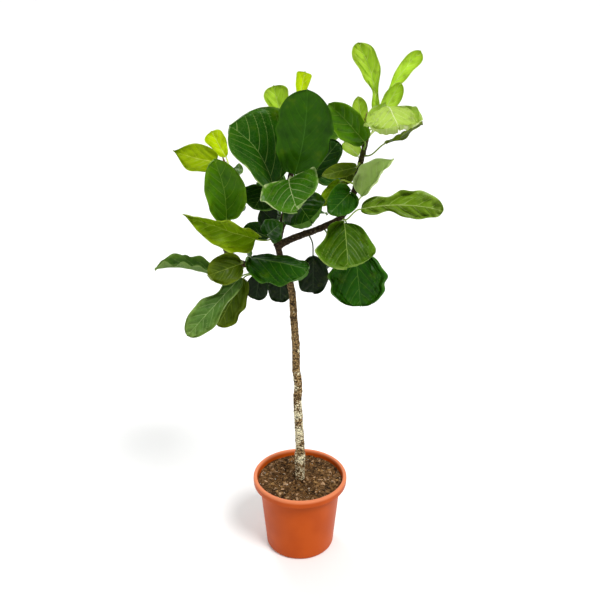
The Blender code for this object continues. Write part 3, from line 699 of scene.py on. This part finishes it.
# -------------------------------------------------------------------- the wood
def corky_fig_bark():
    """Fig bark: thin cork that crazes as the stem thickens. Low on the stem the eye sees cream
    flecks in a dark net of cracks, and higher up brown wood, painted nearly black in the crown as painted
    shade under the leaves."""
    material, tree = blank_material("corky_fig_bark")
    where = add(tree, "TexCoord").outputs["Object"]
    height = add(tree, "SeparateXYZ", [where]).outputs["Z"]
    squat = add(tree, "Mapping", {"Vector": where, "Scale": (1.0, 1.0, 1.45)})
    crumbs = {"Vector": squat, "Scale": 1 / (6.5 * MM), "Detail": 3.5, "Roughness": 0.60}
    crumbs = add(tree, "TexNoise", crumbs)
    patch = add(tree, "TexNoise", {"Vector": squat, "Scale": 1 / (34 * MM), "Detail": 1.0})
    rise = add(tree, "MapRange", [height, 0.42, 0.60, 0.0, 0.20], **EASED)
    flecks = add(tree, "Math", [patch, 0.7, crumbs], operation="MULTIPLY_ADD")
    flecks = add(tree, "Math", [flecks, rise], operation="SUBTRACT")
    shift = (2 * MM, 2 * MM, 2 * MM)
    warped = add(tree, "VectorMath", [crumbs.outputs["Color"], shift, squat], operation="MULTIPLY_ADD")
    cracks = {"Vector": warped, "Scale": 1 / (8 * MM), "Randomness": 1.0}
    cracks = add(tree, "TexVoronoi", cracks, feature="DISTANCE_TO_EDGE")
    young = add(tree, "Attribute", attribute_name="young").outputs["Fac"]
    colour = coats(
        tree,
        linear("#3e2c17"),
        (add(tree, "MapRange", [crumbs, 0.36, 0.60], **EASED), linear("#a98856")),
        (add(tree, "MapRange", [flecks, 0.82, 0.88], **EASED), linear("#efe4bc")),
        (add(tree, "MapRange", [cracks, 0.02, 0.12, 0.85, 0.0], **EASED), linear("#1a1209")),
        # Painted shade: the wood is darkened to nearly black from 0.74 m up, where the crown shades it.
        (add(tree, "MapRange", [height, 0.74, 0.88, 0.0, 0.86], **EASED), linear("#1f180d")),
        (add(tree, "Math", [young, 0.7], **TIMES), linear("#59611f")),
    )
    relief = add(tree, "Math", [cracks, crumbs], operation="ADD")
    look = {"Base Color": colour, "Roughness": 0.85, "Specular IOR Level": 0.2}
    finish_surface(tree, look, relief, 0.9, 1.0 * MM)
    return material


NODE_GAP = 19 * MM  # from one leaf scar to the next
RING_GAP = 1.6 * MM
LIMB_SIDES = 28
BARK_LUMP = 6.5 * MM
BARK_RELIEF = 0.55 * MM
YOUNG_WOOD = 100 * MM  # how far the green wood reaches back from a bud


def limb_rings(limb):
    """A limb as rings of points: swollen at its foot, ringed by leaf scars, and a little uneven."""
    chance = random.Random(limb)
    knots = LIMBS[limb].route
    length = sum((Vector(b) - Vector(a)).length for a, b in zip(knots, knots[1:]))
    count = int(length / RING_GAP)
    places = np.linspace(0.0, 1.0, count)
    path = np.array([limb_point(limb, place) for place in places])
    run = places * length
    radius = limb_radius(limb, places)
    foot_swell, foot_reach = (0.20, 25 * MM) if limb != "trunk" else (0.0, 20 * MM)
    radius = radius * (1 + foot_swell * np.exp(-run / foot_reach))
    if limb == "trunk":
        soil = SOIL_TOP + 1.8 * MM - STEM_FOOT * MM
        radius = radius * (1 + 0.22 * np.exp(-(((run - soil) / (16 * MM)) ** 2)))
    angles = np.linspace(0, math.tau, LIMB_SIDES, endpoint=False)
    uneven = swell(chance, 5, 90 * MM)
    shape = 1 + 0.035 * uneven(np.cos(angles)[None, :] * 30 * MM, run[:, None])
    shape = shape + 0.025 * np.sin(3 * angles[None, :] + 5 * run[:, None] / (90 * MM))
    radii = radius[:, None] * shape
    turn = chance.uniform(0, math.tau)
    at = NODE_GAP * chance.uniform(0.3, 0.9)
    while at < length - 4 * MM:
        beside = run - at
        facing = 0.5 + 0.5 * np.cos(angles - turn)
        ring = np.exp(-((beside / (1.8 * MM)) ** 2))
        scar = np.exp(-(((beside + 3 * MM) / (4.5 * MM)) ** 2))
        radii += ring[:, None] * 0.35 * MM + scar[:, None] * facing[None, :] ** 4 * 1.3 * MM
        turn += math.radians(137.5)
        at += NODE_GAP * chance.uniform(0.75, 1.3)
    return path, radii


def make_stem(material):
    """Trunk and limbs grown into one skin, with smooth crotches at the forks."""
    skin = Skin()
    for limb in LIMBS:
        path, radii = limb_rings(limb)
        skin.extend(tube_points(path, radii, LIMB_SIDES), tube_faces(len(path), LIMB_SIDES), 0)
    stem = skin.make("fig_stem", [material])
    merge = stem.modifiers.new("grown_together", "REMESH")
    merge.mode = "VOXEL"
    merge.voxel_size = 1.0 * MM
    merge.use_smooth_shade = True
    graph = bpy.context.evaluated_depsgraph_get()
    grown = bpy.data.meshes.new_from_object(stem.evaluated_get(graph))
    stem.modifiers.clear()
    stem.data = grown
    grown.materials.clear()
    grown.materials.append(material)
    points = np.empty(len(grown.vertices) * 3, np.float32)
    normals = np.empty(len(grown.vertices) * 3, np.float32)
    grown.vertices.foreach_get("co", points)
    grown.vertices.foreach_get("normal", normals)
    points = points.reshape(-1, 3).astype(float)
    normals = normals.reshape(-1, 3)
    rough = np.array([noise.fractal(Vector(p) / BARK_LUMP, 0.8, 2.0, 3) for p in points])
    points += normals * rough[:, None] * BARK_RELIEF
    grown.vertices.foreach_set("co", points.astype(np.float32).ravel())
    young = np.zeros(len(points))
    for limb in LIMBS:
        if limb != "trunk":
            gap = np.linalg.norm(points - np.array(limb_point(limb, 1.0)), axis=1)
            young = np.maximum(young, np.clip(1 - gap / YOUNG_WOOD, 0, 1))
    layer = np.stack([young, young, young], -1)
    grown.attributes.new("young", "FLOAT_VECTOR", "POINT").data.foreach_set("vector", layer.ravel())
    grown.shade_smooth()
    return stem


# -------------------------------------------------------------------- the buds
BUD_LENGTH = 28 * MM
BUD_RADIUS = 4.5 * MM


def papery_sheath():
    """Bud sheath: a dry stipule, thin and papery. The eye sees red-brown, paler at its
    torn edge, with fine lengthwise fibres."""
    material, tree = blank_material("papery_bud_sheath")
    place = add(tree, "Attribute", attribute_name="blade_place").outputs["Vector"]
    run = add(tree, "SeparateXYZ", [place]).outputs["Y"]
    drawn = add(tree, "Mapping", {"Vector": place, "Scale": (1 / (0.7 * MM), 1 / (9 * MM), 1)})
    fibres = add(tree, "TexNoise", {"Vector": drawn, "Scale": 1.0, "Detail": 2.0})
    colour = coats(
        tree,
        linear("#57331a"),
        (add(tree, "MapRange", [fibres, 0.35, 0.65], **EASED), linear("#94653a")),
        (
            add(tree, "MapRange", [run, 0.55 * BUD_LENGTH, BUD_LENGTH, 0.0, 0.6], **EASED),
            linear("#a9b04a"),
        ),
    )
    finish_surface(tree, {"Base Color": colour, "Roughness": 0.6}, fibres, 0.6, 0.3 * MM)
    return material


def make_bud(limb, material):
    """A pointed bud in its sheath, with two older stipules curling back round its foot."""
    heading = np.array(limb_tangent(limb, 1.0))
    foot = np.array(limb_point(limb, 1.0))
    across = unit(np.cross(heading, [0.3, 1.0, 0.2]))
    up = np.cross(heading, across)
    skin = Skin()
    run = np.linspace(-0.08, 1.0, 30)
    lean = across * 1.6 * MM
    path = foot + np.outer(run * BUD_LENGTH, heading) + np.outer(np.clip(run, 0, 1) ** 2, lean)
    belly = np.clip(run + 0.12, 0, None) ** 0.35 * np.clip(1.02 - run, 0, 1) ** 0.75
    sides = 20
    angles = np.linspace(0, math.tau, sides, endpoint=False)
    seam = 1 - 0.10 * np.exp(-(((angles - 2.2) / 0.25) ** 2))
    radii = BUD_RADIUS * belly[:, None] * seam[None, :] * 1.15
    place = np.stack(np.broadcast_arrays(angles[None, :] * 4 * MM, (run * BUD_LENGTH)[:, None], 0.0), -1)
    skin.extend(
        tube_points(path, radii, sides),
        tube_faces(len(path), sides),
        0,
        blade_place=place.reshape(-1, 3),
    )
    for number in range(2):
        rows, columns = 12, 11
        t, q = np.meshgrid(np.linspace(0, 1, rows), np.linspace(-1, 1, columns), indexing="ij")
        angle = 2.6 * number + 0.4 + q * 1.5 * (1 - t**2.2)
        radius = BUD_RADIUS * (0.95 + 0.55 * t**2 + 0.05 * np.sin(5 * q))
        run = (0.55 - 0.12 * number) * BUD_LENGTH * t - 2 * MM
        ring = np.cos(angle)[..., None] * across + np.sin(angle)[..., None] * up
        outer = foot + run[..., None] * heading + ring * radius[..., None]
        inner = outer - ring * 0.3 * MM
        layer = np.stack([angle * 4 * MM, run * 0.5, 0 * t], -1).reshape(-1, 3)
        faces = sheet_faces(rows, columns)
        skin.extend(outer, faces, 0, blade_place=layer)
        skin.extend(inner, [tuple(reversed(face)) for face in faces], 0, blade_place=layer)
    return skin.make(limb + "_bud_sheath", [material])


# --------------------------------------------------------------------- the pot
POT_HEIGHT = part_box("pot")[1][2]
RIM_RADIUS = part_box("pot")[1][0]
LIP_HEIGHT = 0.021
LIP_INNER_RADIUS = 0.1245
SHOULDER_RADIUS = 0.1160
BASE_RADIUS = 0.0990
WALL = 0.0022
FLOOR = 0.004
DRAIN_HOLES = 8
DRAIN_HOLE_RADIUS = 6 * MM
DRAIN_CIRCLE = 60 * MM
SHOULDER = POT_HEIGHT - LIP_HEIGHT
LIP_WALL = 2.8 * MM


def moulded_polypropylene():
    """Nursery pot plastic: polypropylene, injection moulded. The eye sees even burnt orange
    with a satin sheen, fine scuffs round it, a painted highlight along the top of the lip, and dried soil."""
    material, tree = blank_material("moulded_polypropylene")
    where = add(tree, "TexCoord").outputs["Object"]
    height = add(tree, "SeparateXYZ", [where]).outputs["Z"]
    flow = add(tree, "TexNoise", {"Vector": where, "Scale": 1 / (70 * MM), "Detail": 1.0})
    dust = {"Vector": where, "Scale": 1 / (6 * MM), "Detail": 5.0, "Roughness": 0.7}
    dust = add(tree, "MapRange", [add(tree, "TexNoise", dust), 0.50, 0.66], **EASED)
    low = add(tree, "MapRange", [height, 0.035, 0.0, 0.0, 0.35], **EASED)
    drawn = add(tree, "Mapping", {"Vector": where, "Scale": (1.0, 1.0, 8.0)})
    scuffs = {"Vector": drawn, "Scale": 1 / (7 * MM), "Detail": 6.0, "Roughness": 0.7}
    scuffs = add(tree, "TexNoise", scuffs)
    # Painted highlight: the top of the lip is painted pale peach over its last 10 mm, where the key light
    # catches it.
    roll = [height, POT_HEIGHT - 10 * MM, POT_HEIGHT - 1 * MM, 0.0, 0.62]
    colour = coats(
        tree,
        linear("#b04606"),
        (add(tree, "MapRange", [flow, 0.35, 0.65], **EASED), linear("#b84c09")),
        (add(tree, "Math", [dust, low], **TIMES), linear("#7a5435")),
        (add(tree, "MapRange", [scuffs, 0.62, 0.76, 0.0, 0.07], **EASED), linear("#e2a27c")),
        # painted highlight along the top of the lip
        (add(tree, "MapRange", roll, **EASED), linear("#ec9468")),
    )
    grain = add(tree, "TexNoise", {"Vector": where, "Scale": 1 / (0.9 * MM), "Detail": 2.0})
    look = {
        "Base Color": colour,
        "Roughness": add(tree, "MapRange", [scuffs, 0.35, 0.70, 0.36, 0.48]),
        "Specular IOR Level": 0.12,
    }
    finish_surface(tree, look, grain, 0.12, 0.1 * MM)
    return material


def rounded(corners, steps=6):
    """A profile whose corners are rounded: each corner is (radius out, height, fillet)."""
    profile = []
    for i, (r, z, fillet) in enumerate(corners):
        here = Vector((r, z))
        if fillet == 0 or i in (0, len(corners) - 1):
            profile.append(here)
            continue
        before = Vector(corners[i - 1][:2]) - here
        after = Vector(corners[i + 1][:2]) - here
        reach = min(fillet, 0.49 * before.length, 0.49 * after.length)
        start = here + before.normalized() * reach
        end = here + after.normalized() * reach
        for k in range(steps + 1):
            u = k / steps
            profile.append(start * (1 - u) ** 2 + here * 2 * u * (1 - u) + end * u**2)
    return profile


def make_pot(material):
    """The pot: a tapered wall, a rolled lip that is hollow below, and a floor with drain holes."""
    corners = [
        (0.0, FLOOR, 0),
        (BASE_RADIUS - 4 * MM, FLOOR, 8 * MM),
        (BASE_RADIUS - 1.6 * MM, FLOOR + 18 * MM, 8 * MM),
        (SHOULDER_RADIUS - WALL, SHOULDER - 1 * MM, 1.5 * MM),
        (SHOULDER_RADIUS - WALL + 1.2 * MM, SHOULDER + 2.4 * MM, 1.5 * MM),
        (LIP_INNER_RADIUS - 2.4 * MM, SHOULDER + 3.2 * MM, 2 * MM),
        (LIP_INNER_RADIUS - 1 * MM, POT_HEIGHT - 5 * MM, 3 * MM),
        (LIP_INNER_RADIUS + 0.5 * MM, POT_HEIGHT, 3.5 * MM),
        (RIM_RADIUS - 1 * MM, POT_HEIGHT, 5 * MM),
        (RIM_RADIUS, POT_HEIGHT - 9 * MM, 5 * MM),
        (RIM_RADIUS - 1.2 * MM, SHOULDER, 1.2 * MM),
        (RIM_RADIUS - LIP_WALL, SHOULDER, 0.6 * MM),
        (RIM_RADIUS - LIP_WALL, POT_HEIGHT - 5 * MM, 3 * MM),
        (LIP_INNER_RADIUS + 3 * MM, POT_HEIGHT - 3.4 * MM, 2 * MM),
        (LIP_INNER_RADIUS + 1.2 * MM, SHOULDER + 0.8 * MM, 2 * MM),
        (SHOULDER_RADIUS + 2.2 * MM, SHOULDER + 0.3 * MM, 1 * MM),
        (SHOULDER_RADIUS + 1.3 * MM, SHOULDER - 10 * MM, 0.5 * MM),
        (SHOULDER_RADIUS + 1.0 * MM, SHOULDER - 11.2 * MM, 0.5 * MM),
        (SHOULDER_RADIUS, SHOULDER - 12 * MM, 1 * MM),
        (BASE_RADIUS + 0.6 * MM, 20 * MM, 4 * MM),
        (BASE_RADIUS - 0.6 * MM, 0.0, 14 * MM),
        (70 * MM, 0.0, 0.6 * MM),
        (69.2 * MM, 1.0 * MM, 0.5 * MM),
        (50 * MM, 1.0 * MM, 0.5 * MM),
        (49.2 * MM, 0.0, 0.5 * MM),
        (0.0, 0.0, 0),
    ]
    mesh = bpy.data.meshes.new("moulded_pot")
    profile = rounded(corners)
    edges = [(i, i + 1) for i in range(len(profile) - 1)]
    mesh.from_pydata([(max(r, 0.0), 0.0, z) for r, z in profile], edges, [])
    mesh.materials.append(material)
    pot = bpy.data.objects.new("moulded_pot", mesh)
    bpy.context.scene.collection.objects.link(pot)
    screw = pot.modifiers.new("turn", "SCREW")
    screw.steps = screw.render_steps = 144
    screw.use_merge_vertices = True
    screw.merge_threshold = 0.02 * MM
    screw.use_smooth_shade = True
    for i in range(DRAIN_HOLES):
        angle = math.tau * i / DRAIN_HOLES + math.pi / 40
        cutter_mesh = bpy.data.meshes.new(f"drain_cutter_{i}")
        shape = bmesh.new()
        bmesh.ops.create_cone(
            shape,
            cap_ends=True,
            segments=32,
            radius1=DRAIN_HOLE_RADIUS,
            radius2=DRAIN_HOLE_RADIUS,
            depth=4 * FLOOR,
        )
        hole = (DRAIN_CIRCLE * math.cos(angle), DRAIN_CIRCLE * math.sin(angle), 0.0)
        bmesh.ops.translate(shape, vec=hole, verts=shape.verts)
        shape.to_mesh(cutter_mesh)
        shape.free()
        cutter = bpy.data.objects.new(cutter_mesh.name, cutter_mesh)
        bpy.context.scene.collection.objects.link(cutter)
        cut = pot.modifiers.new(cutter.name, "BOOLEAN")
        cut.object = cutter
        cut.operation = "DIFFERENCE"
    graph = bpy.context.evaluated_depsgraph_get()
    pot.data = bpy.data.meshes.new_from_object(pot.evaluated_get(graph))
    pot.modifiers.clear()
    for obj in [o for o in bpy.data.objects if o.name.startswith("drain_cutter_")]:
        bpy.data.objects.remove(obj, do_unlink=True)
    pot.data.shade_smooth()
    pot.data.set_sharp_from_angle(angle=math.radians(40))
    return pot


# -------------------------------------------------------------------- the soil
SOIL_TOP = 0.2112
SOIL_RADIUS = 0.1226


def soil_height(x, y):
    r = math.hypot(x, y)
    mound = 3 * MM * math.exp(-((r / (45 * MM)) ** 2))
    lumps = noise.fractal(Vector((x, y, 0.0)) / (14 * MM), 0.7, 2.0, 4) * 2.0 * MM
    return SOIL_TOP - 1 * MM + mound + lumps


def crumbled(name, pale, dark, scale, roughness=0.9):
    """A dull material of two colours that change grain by grain, each grain tinted its own way."""
    material, tree = blank_material(name)
    where = add(tree, "TexCoord").outputs["Object"]
    own = add(tree, "Attribute", attribute_name="grain_tone").outputs["Color"]
    speck = {"Vector": where, "Scale": 1 / scale, "Detail": 6.0, "Roughness": 0.7}
    speck = add(tree, "TexNoise", speck)
    share = add(tree, "MapRange", [speck, 0.35, 0.65], **EASED)
    colour = coats(tree, linear(dark), (share, linear(pale)))
    colour = add(tree, "Mix", {0: 1.0, 6: colour, 7: own}, blend_type="MULTIPLY", **TINT)
    damp = add(tree, "TexNoise", {"Vector": where, "Scale": 1 / (28 * MM), "Detail": 2.0})
    damp = add(tree, "MapRange", [damp, 0.50, 0.66, 0.0, 0.55], **EASED)
    colour = coats(tree, colour, (damp, linear("#20130a")))
    look = {"Base Color": colour, "Roughness": roughness, "Specular IOR Level": 0.12}
    finish_surface(tree, look, speck, 0.8, 0.7 * MM)
    return material


def make_soil(material):
    """The mix's uneven top, turned down at its edge to meet the pot's wall."""
    skin = Skin()
    rings, sides = 64, 160
    radii = np.linspace(0.0, SOIL_RADIUS, rings)
    points = []
    for k, radius in enumerate(radii):
        for s in range(sides):
            angle = math.tau * s / sides
            x, y = radius * math.cos(angle), radius * math.sin(angle)
            drop = 3 * MM if k == rings - 1 else 0.0
            points.append((x, y, soil_height(x, y) - drop))
    faces = []
    for k in range(rings - 1):
        for s in range(sides):
            n = (s + 1) % sides
            a, b = k * sides, (k + 1) * sides
            faces.append((a + s, b + s, b + n, a + n))
    ground = np.ones((len(points), 4))
    skin.extend(points, faces, 0, grain_tone=ground)
    below = [(0.924, SHOULDER + 3.8 * MM), (0.918, SHOULDER - 1.5 * MM), (0.72, FLOOR + 1.5 * MM)]
    upper = (rings - 1) * sides
    for scale, level in below:
        ring = [(x * scale, y * scale, level) for x, y, _ in points[-sides:]]
        start = skin.extend(ring, [], 0, grain_tone=np.ones((sides, 4)))
        for s in range(sides):
            n = (s + 1) % sides
            skin.faces.append((upper + s, start + s, start + n, upper + n))
            skin.slots.append(0)
        upper = start
    skin.faces.append(tuple(reversed(range(upper, upper + sides))))
    skin.slots.append(0)
    return skin.make("potting_mix", [material], math.radians(80))


def chip_shape(detail):
    shape = bmesh.new()
    bmesh.ops.create_icosphere(shape, subdivisions=detail, radius=1.0)
    points = np.array([v.co[:] for v in shape.verts])
    faces = [tuple(v.index for v in f.verts) for f in shape.faces]
    shape.free()
    return points, faces


def turned(chance, flatness):
    """A random turn whose thin side mostly stays up."""
    spin = chance.uniform(0, math.tau)
    tilt = chance.gauss(0, flatness)
    roll = chance.gauss(0, flatness)
    c, s = math.cos(spin), math.sin(spin)
    about_z = np.array([[c, -s, 0], [s, c, 0], [0, 0, 1]])
    c, s = math.cos(tilt), math.sin(tilt)
    about_x = np.array([[1, 0, 0], [0, c, -s], [0, s, c]])
    c, s = math.cos(roll), math.sin(roll)
    about_y = np.array([[c, 0, s], [0, 1, 0], [-s, 0, c]])
    return about_z @ about_x @ about_y


def scatter(name, material, count, sides, detail, flatness, tones):
    """Grains or chips lying on the mix. sides gives the range of each side, in mm."""
    chance = random.Random(name)
    base, faces = chip_shape(detail)
    skin = Skin()
    for _ in range(count):
        size = np.array([chance.uniform(*side) / 2 * MM for side in sides])
        radius = (SOIL_RADIUS - size[0] - 2 * MM) * math.sqrt(chance.uniform(0.02, 1.0))
        angle = chance.uniform(0, math.tau)
        x, y = radius * math.cos(angle), radius * math.sin(angle)
        seed = Vector((chance.uniform(0, 99), chance.uniform(0, 99), chance.uniform(0, 99)))
        knobs = np.array([noise.noise(Vector(p) * 1.3 + seed) for p in base])
        square = np.sign(base) * np.abs(base) ** 0.65
        shape = square * (1 + 0.45 * knobs)[:, None] * size
        shape = shape @ turned(chance, flatness).T
        up = soil_height(x, y) + size[2] * 0.3
        tint = np.array(linear(chance.choice(tones))) * chance.uniform(0.75, 1.15)
        tint[3] = 1.0
        skin.extend(shape + (x, y, up), faces, 0, grain_tone=np.broadcast_to(tint, (len(base), 4)))
    return skin.make(name, [material], math.radians(35))


# Each kind of grain: its material, how many, its three sides in mm, how finely it is
# shaped, how far it tips over, and its colours.
GRAINS = [
    (
        "bark_chips",
        "bark",
        420,
        ((5, 16), (4, 9), (1.5, 4)),
        2,
        0.30,
        ["#8a6438", "#604424", "#ab8654", "#3f2a12", "#8e6c44", "#c4a27c"],
    ),
    (
        "peat_crumbs",
        "bark",
        1900,
        ((1.5, 5), (1.5, 4), (1, 3)),
        1,
        0.8,
        ["#604322", "#7e5a30", "#3d2710", "#9c784a", "#b8926a"],
    ),
    (
        "pumice_grains",
        "pumice",
        80,
        ((2, 4.5), (2, 4), (1.5, 3)),
        2,
        0.8,
        ["#e5ddcc", "#d8bfa4"],
    ),
]


def make_fibres(material):
    """Coir and root fibres that curl over the mix."""
    chance = random.Random("fibres")
    skin = Skin()
    for _ in range(150):
        radius = (SOIL_RADIUS - 10 * MM) * math.sqrt(chance.uniform(0.02, 1.0))
        angle = chance.uniform(0, math.tau)
        x, y = radius * math.cos(angle), radius * math.sin(angle)
        heading = chance.uniform(0, math.tau)
        curl = chance.uniform(-0.35, 0.35)
        step = chance.uniform(1.2, 3.0) * MM
        path = []
        for k in range(9):
            loft = 1.6 * MM * math.sin(math.pi * k / 8) * chance.random()
            path.append((x, y, soil_height(x, y) + 0.5 * MM + loft))
            if math.hypot(x, y) < SOIL_RADIUS - 4 * MM:
                x += step * math.cos(heading)
                y += step * math.sin(heading)
            else:
                x -= step * x / SOIL_RADIUS
                y -= step * y / SOIL_RADIUS
            heading += curl + chance.gauss(0, 0.25)
        tint = np.array(linear(chance.choice(["#a07a4c", "#7c5630", "#c2a577"])))
        rings = tube_points(path, chance.uniform(0.18, 0.38) * MM, 5)
        skin.extend(rings, tube_faces(9, 5), 0, grain_tone=np.broadcast_to(tint, (45, 4)))
    return skin.make("coir_fibres", [material])


# ------------------------------------------------------------------- the studio
def make_studio():
    """A pale floor that runs up into a pale wall, soft lights and the camera."""
    width, depth, height, bend = 12.0, 5.0, 6.0, 1.5
    profile = [(-4.0, 0.0), (depth - bend, 0.0)]
    for k in range(1, 13):
        angle = math.radians(90 * k / 12)
        profile.append((depth - bend + bend * math.sin(angle), bend - bend * math.cos(angle)))
    profile.append((depth, height))
    points = [(x, y, z) for y, z in profile for x in (-width / 2, width / 2)]
    skin = Skin()
    skin.extend(points, [(2 * i, 2 * i + 1, 2 * i + 3, 2 * i + 2) for i in range(len(profile) - 1)], 0)
    material, tree = blank_material("pale_studio_paper")
    finish_surface(tree, {"Base Color": linear("#fafaf8"), "Roughness": 0.9})
    skin.make("studio_floor", [material])

    world = bpy.data.worlds.new("studio_air")
    world.use_nodes = True
    world.node_tree.nodes["Background"].inputs["Color"].default_value = linear("#fbfcff")
    world.node_tree.nodes["Background"].inputs["Strength"].default_value = 0.50
    bpy.context.scene.world = world
    bpy.context.scene.view_settings.view_transform = "Standard"

    def softbox(name, place, aim, size, power):
        light = bpy.data.lights.new(name, "AREA")
        light.shape = "DISK"
        light.size = size
        light.energy = power
        obj = bpy.data.objects.new(name, light)
        obj.location = place
        obj.rotation_euler = (Vector(aim) - Vector(place)).to_track_quat("-Z", "Y").to_euler()
        bpy.context.scene.collection.objects.link(obj)

    key = bpy.data.lights.new("key_light", "SUN")
    key.energy = 2.3
    key.angle = math.radians(22)
    lamp = bpy.data.objects.new("key_light", key)
    lamp.rotation_euler = Vector((-0.50, 0.55, -1.0)).to_track_quat("-Z", "Y").to_euler()
    bpy.context.scene.collection.objects.link(lamp)
    softbox("fill_light", (-2.2, -1.6, 1.6), (0, 0, 0.7), 1.6, 7)
    softbox("rim_light", (-0.8, 1.7, 2.6), (0, 0, 1.1), 1.2, 24)

    camera = bpy.data.cameras.new("camera")
    camera.lens = 44.1
    camera.sensor_width = 36.0
    obj = bpy.data.objects.new("camera", camera)
    obj.location = (0.0, -1.80, 1.47)
    obj.rotation_euler = (math.radians(90 - 21.35), 0.0, 0.0)
    bpy.context.scene.collection.objects.link(obj)
    bpy.context.scene.camera = obj


def place(piece, slot, *nodes):
    """The piece is part of the plant: it rides on the frame and stands for its nodes."""
    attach(piece, "root")
    if nodes:
        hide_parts(*nodes)


def main():
    make_studio()
    place(make_pot(moulded_polypropylene()), "terracotta_plastic", "pot")
    mix = crumbled("damp_potting_mix", "#70502c", "#281a0b", 4 * MM)
    place(make_soil(mix), "potting_mix", "potting_soil")
    bark = crumbled("composted_bark", "#ffffff", "#9c8a78", 2.5 * MM, 0.85)
    pumice = crumbled("crushed_pumice", "#ffffff", "#c9bfb0", 1.0 * MM, 0.95)
    for name, look, *shape in GRAINS:
        place(scatter(name, {"bark": bark, "pumice": pumice}[look], *shape), "potting_mix")
    place(make_fibres(bark), "potting_mix")
    place(make_stem(corky_fig_bark()), "fig_bark", "woody_stem")
    sheath = papery_sheath()
    edge_and_rib = [horny_margin(), ribbed_petiole()]
    young = [waxed_upper_blade("soft_young_blade", 0.5), felted_under_blade("young_under_blade", 0.5)]
    grown = [waxed_upper_blade("waxed_upper_blade", 0.22), felted_under_blade("felted_under_blade", 0.22)]
    for limb in LIMBS:
        if limb != "trunk":
            place(make_bud(limb, sheath), SLOT_OF[limb + "_bud"], limb + "_bud")
        for number, leaf in enumerate(LEAVES[limb], 1):
            node = f"{limb}_leaf_{number:02d}"
            skins = young if SLOT_OF[node] == "young_leaf" else grown
            place(make_leaf("fig_" + node, limb, leaf, skins + edge_and_rib), SLOT_OF[node], node)


main()
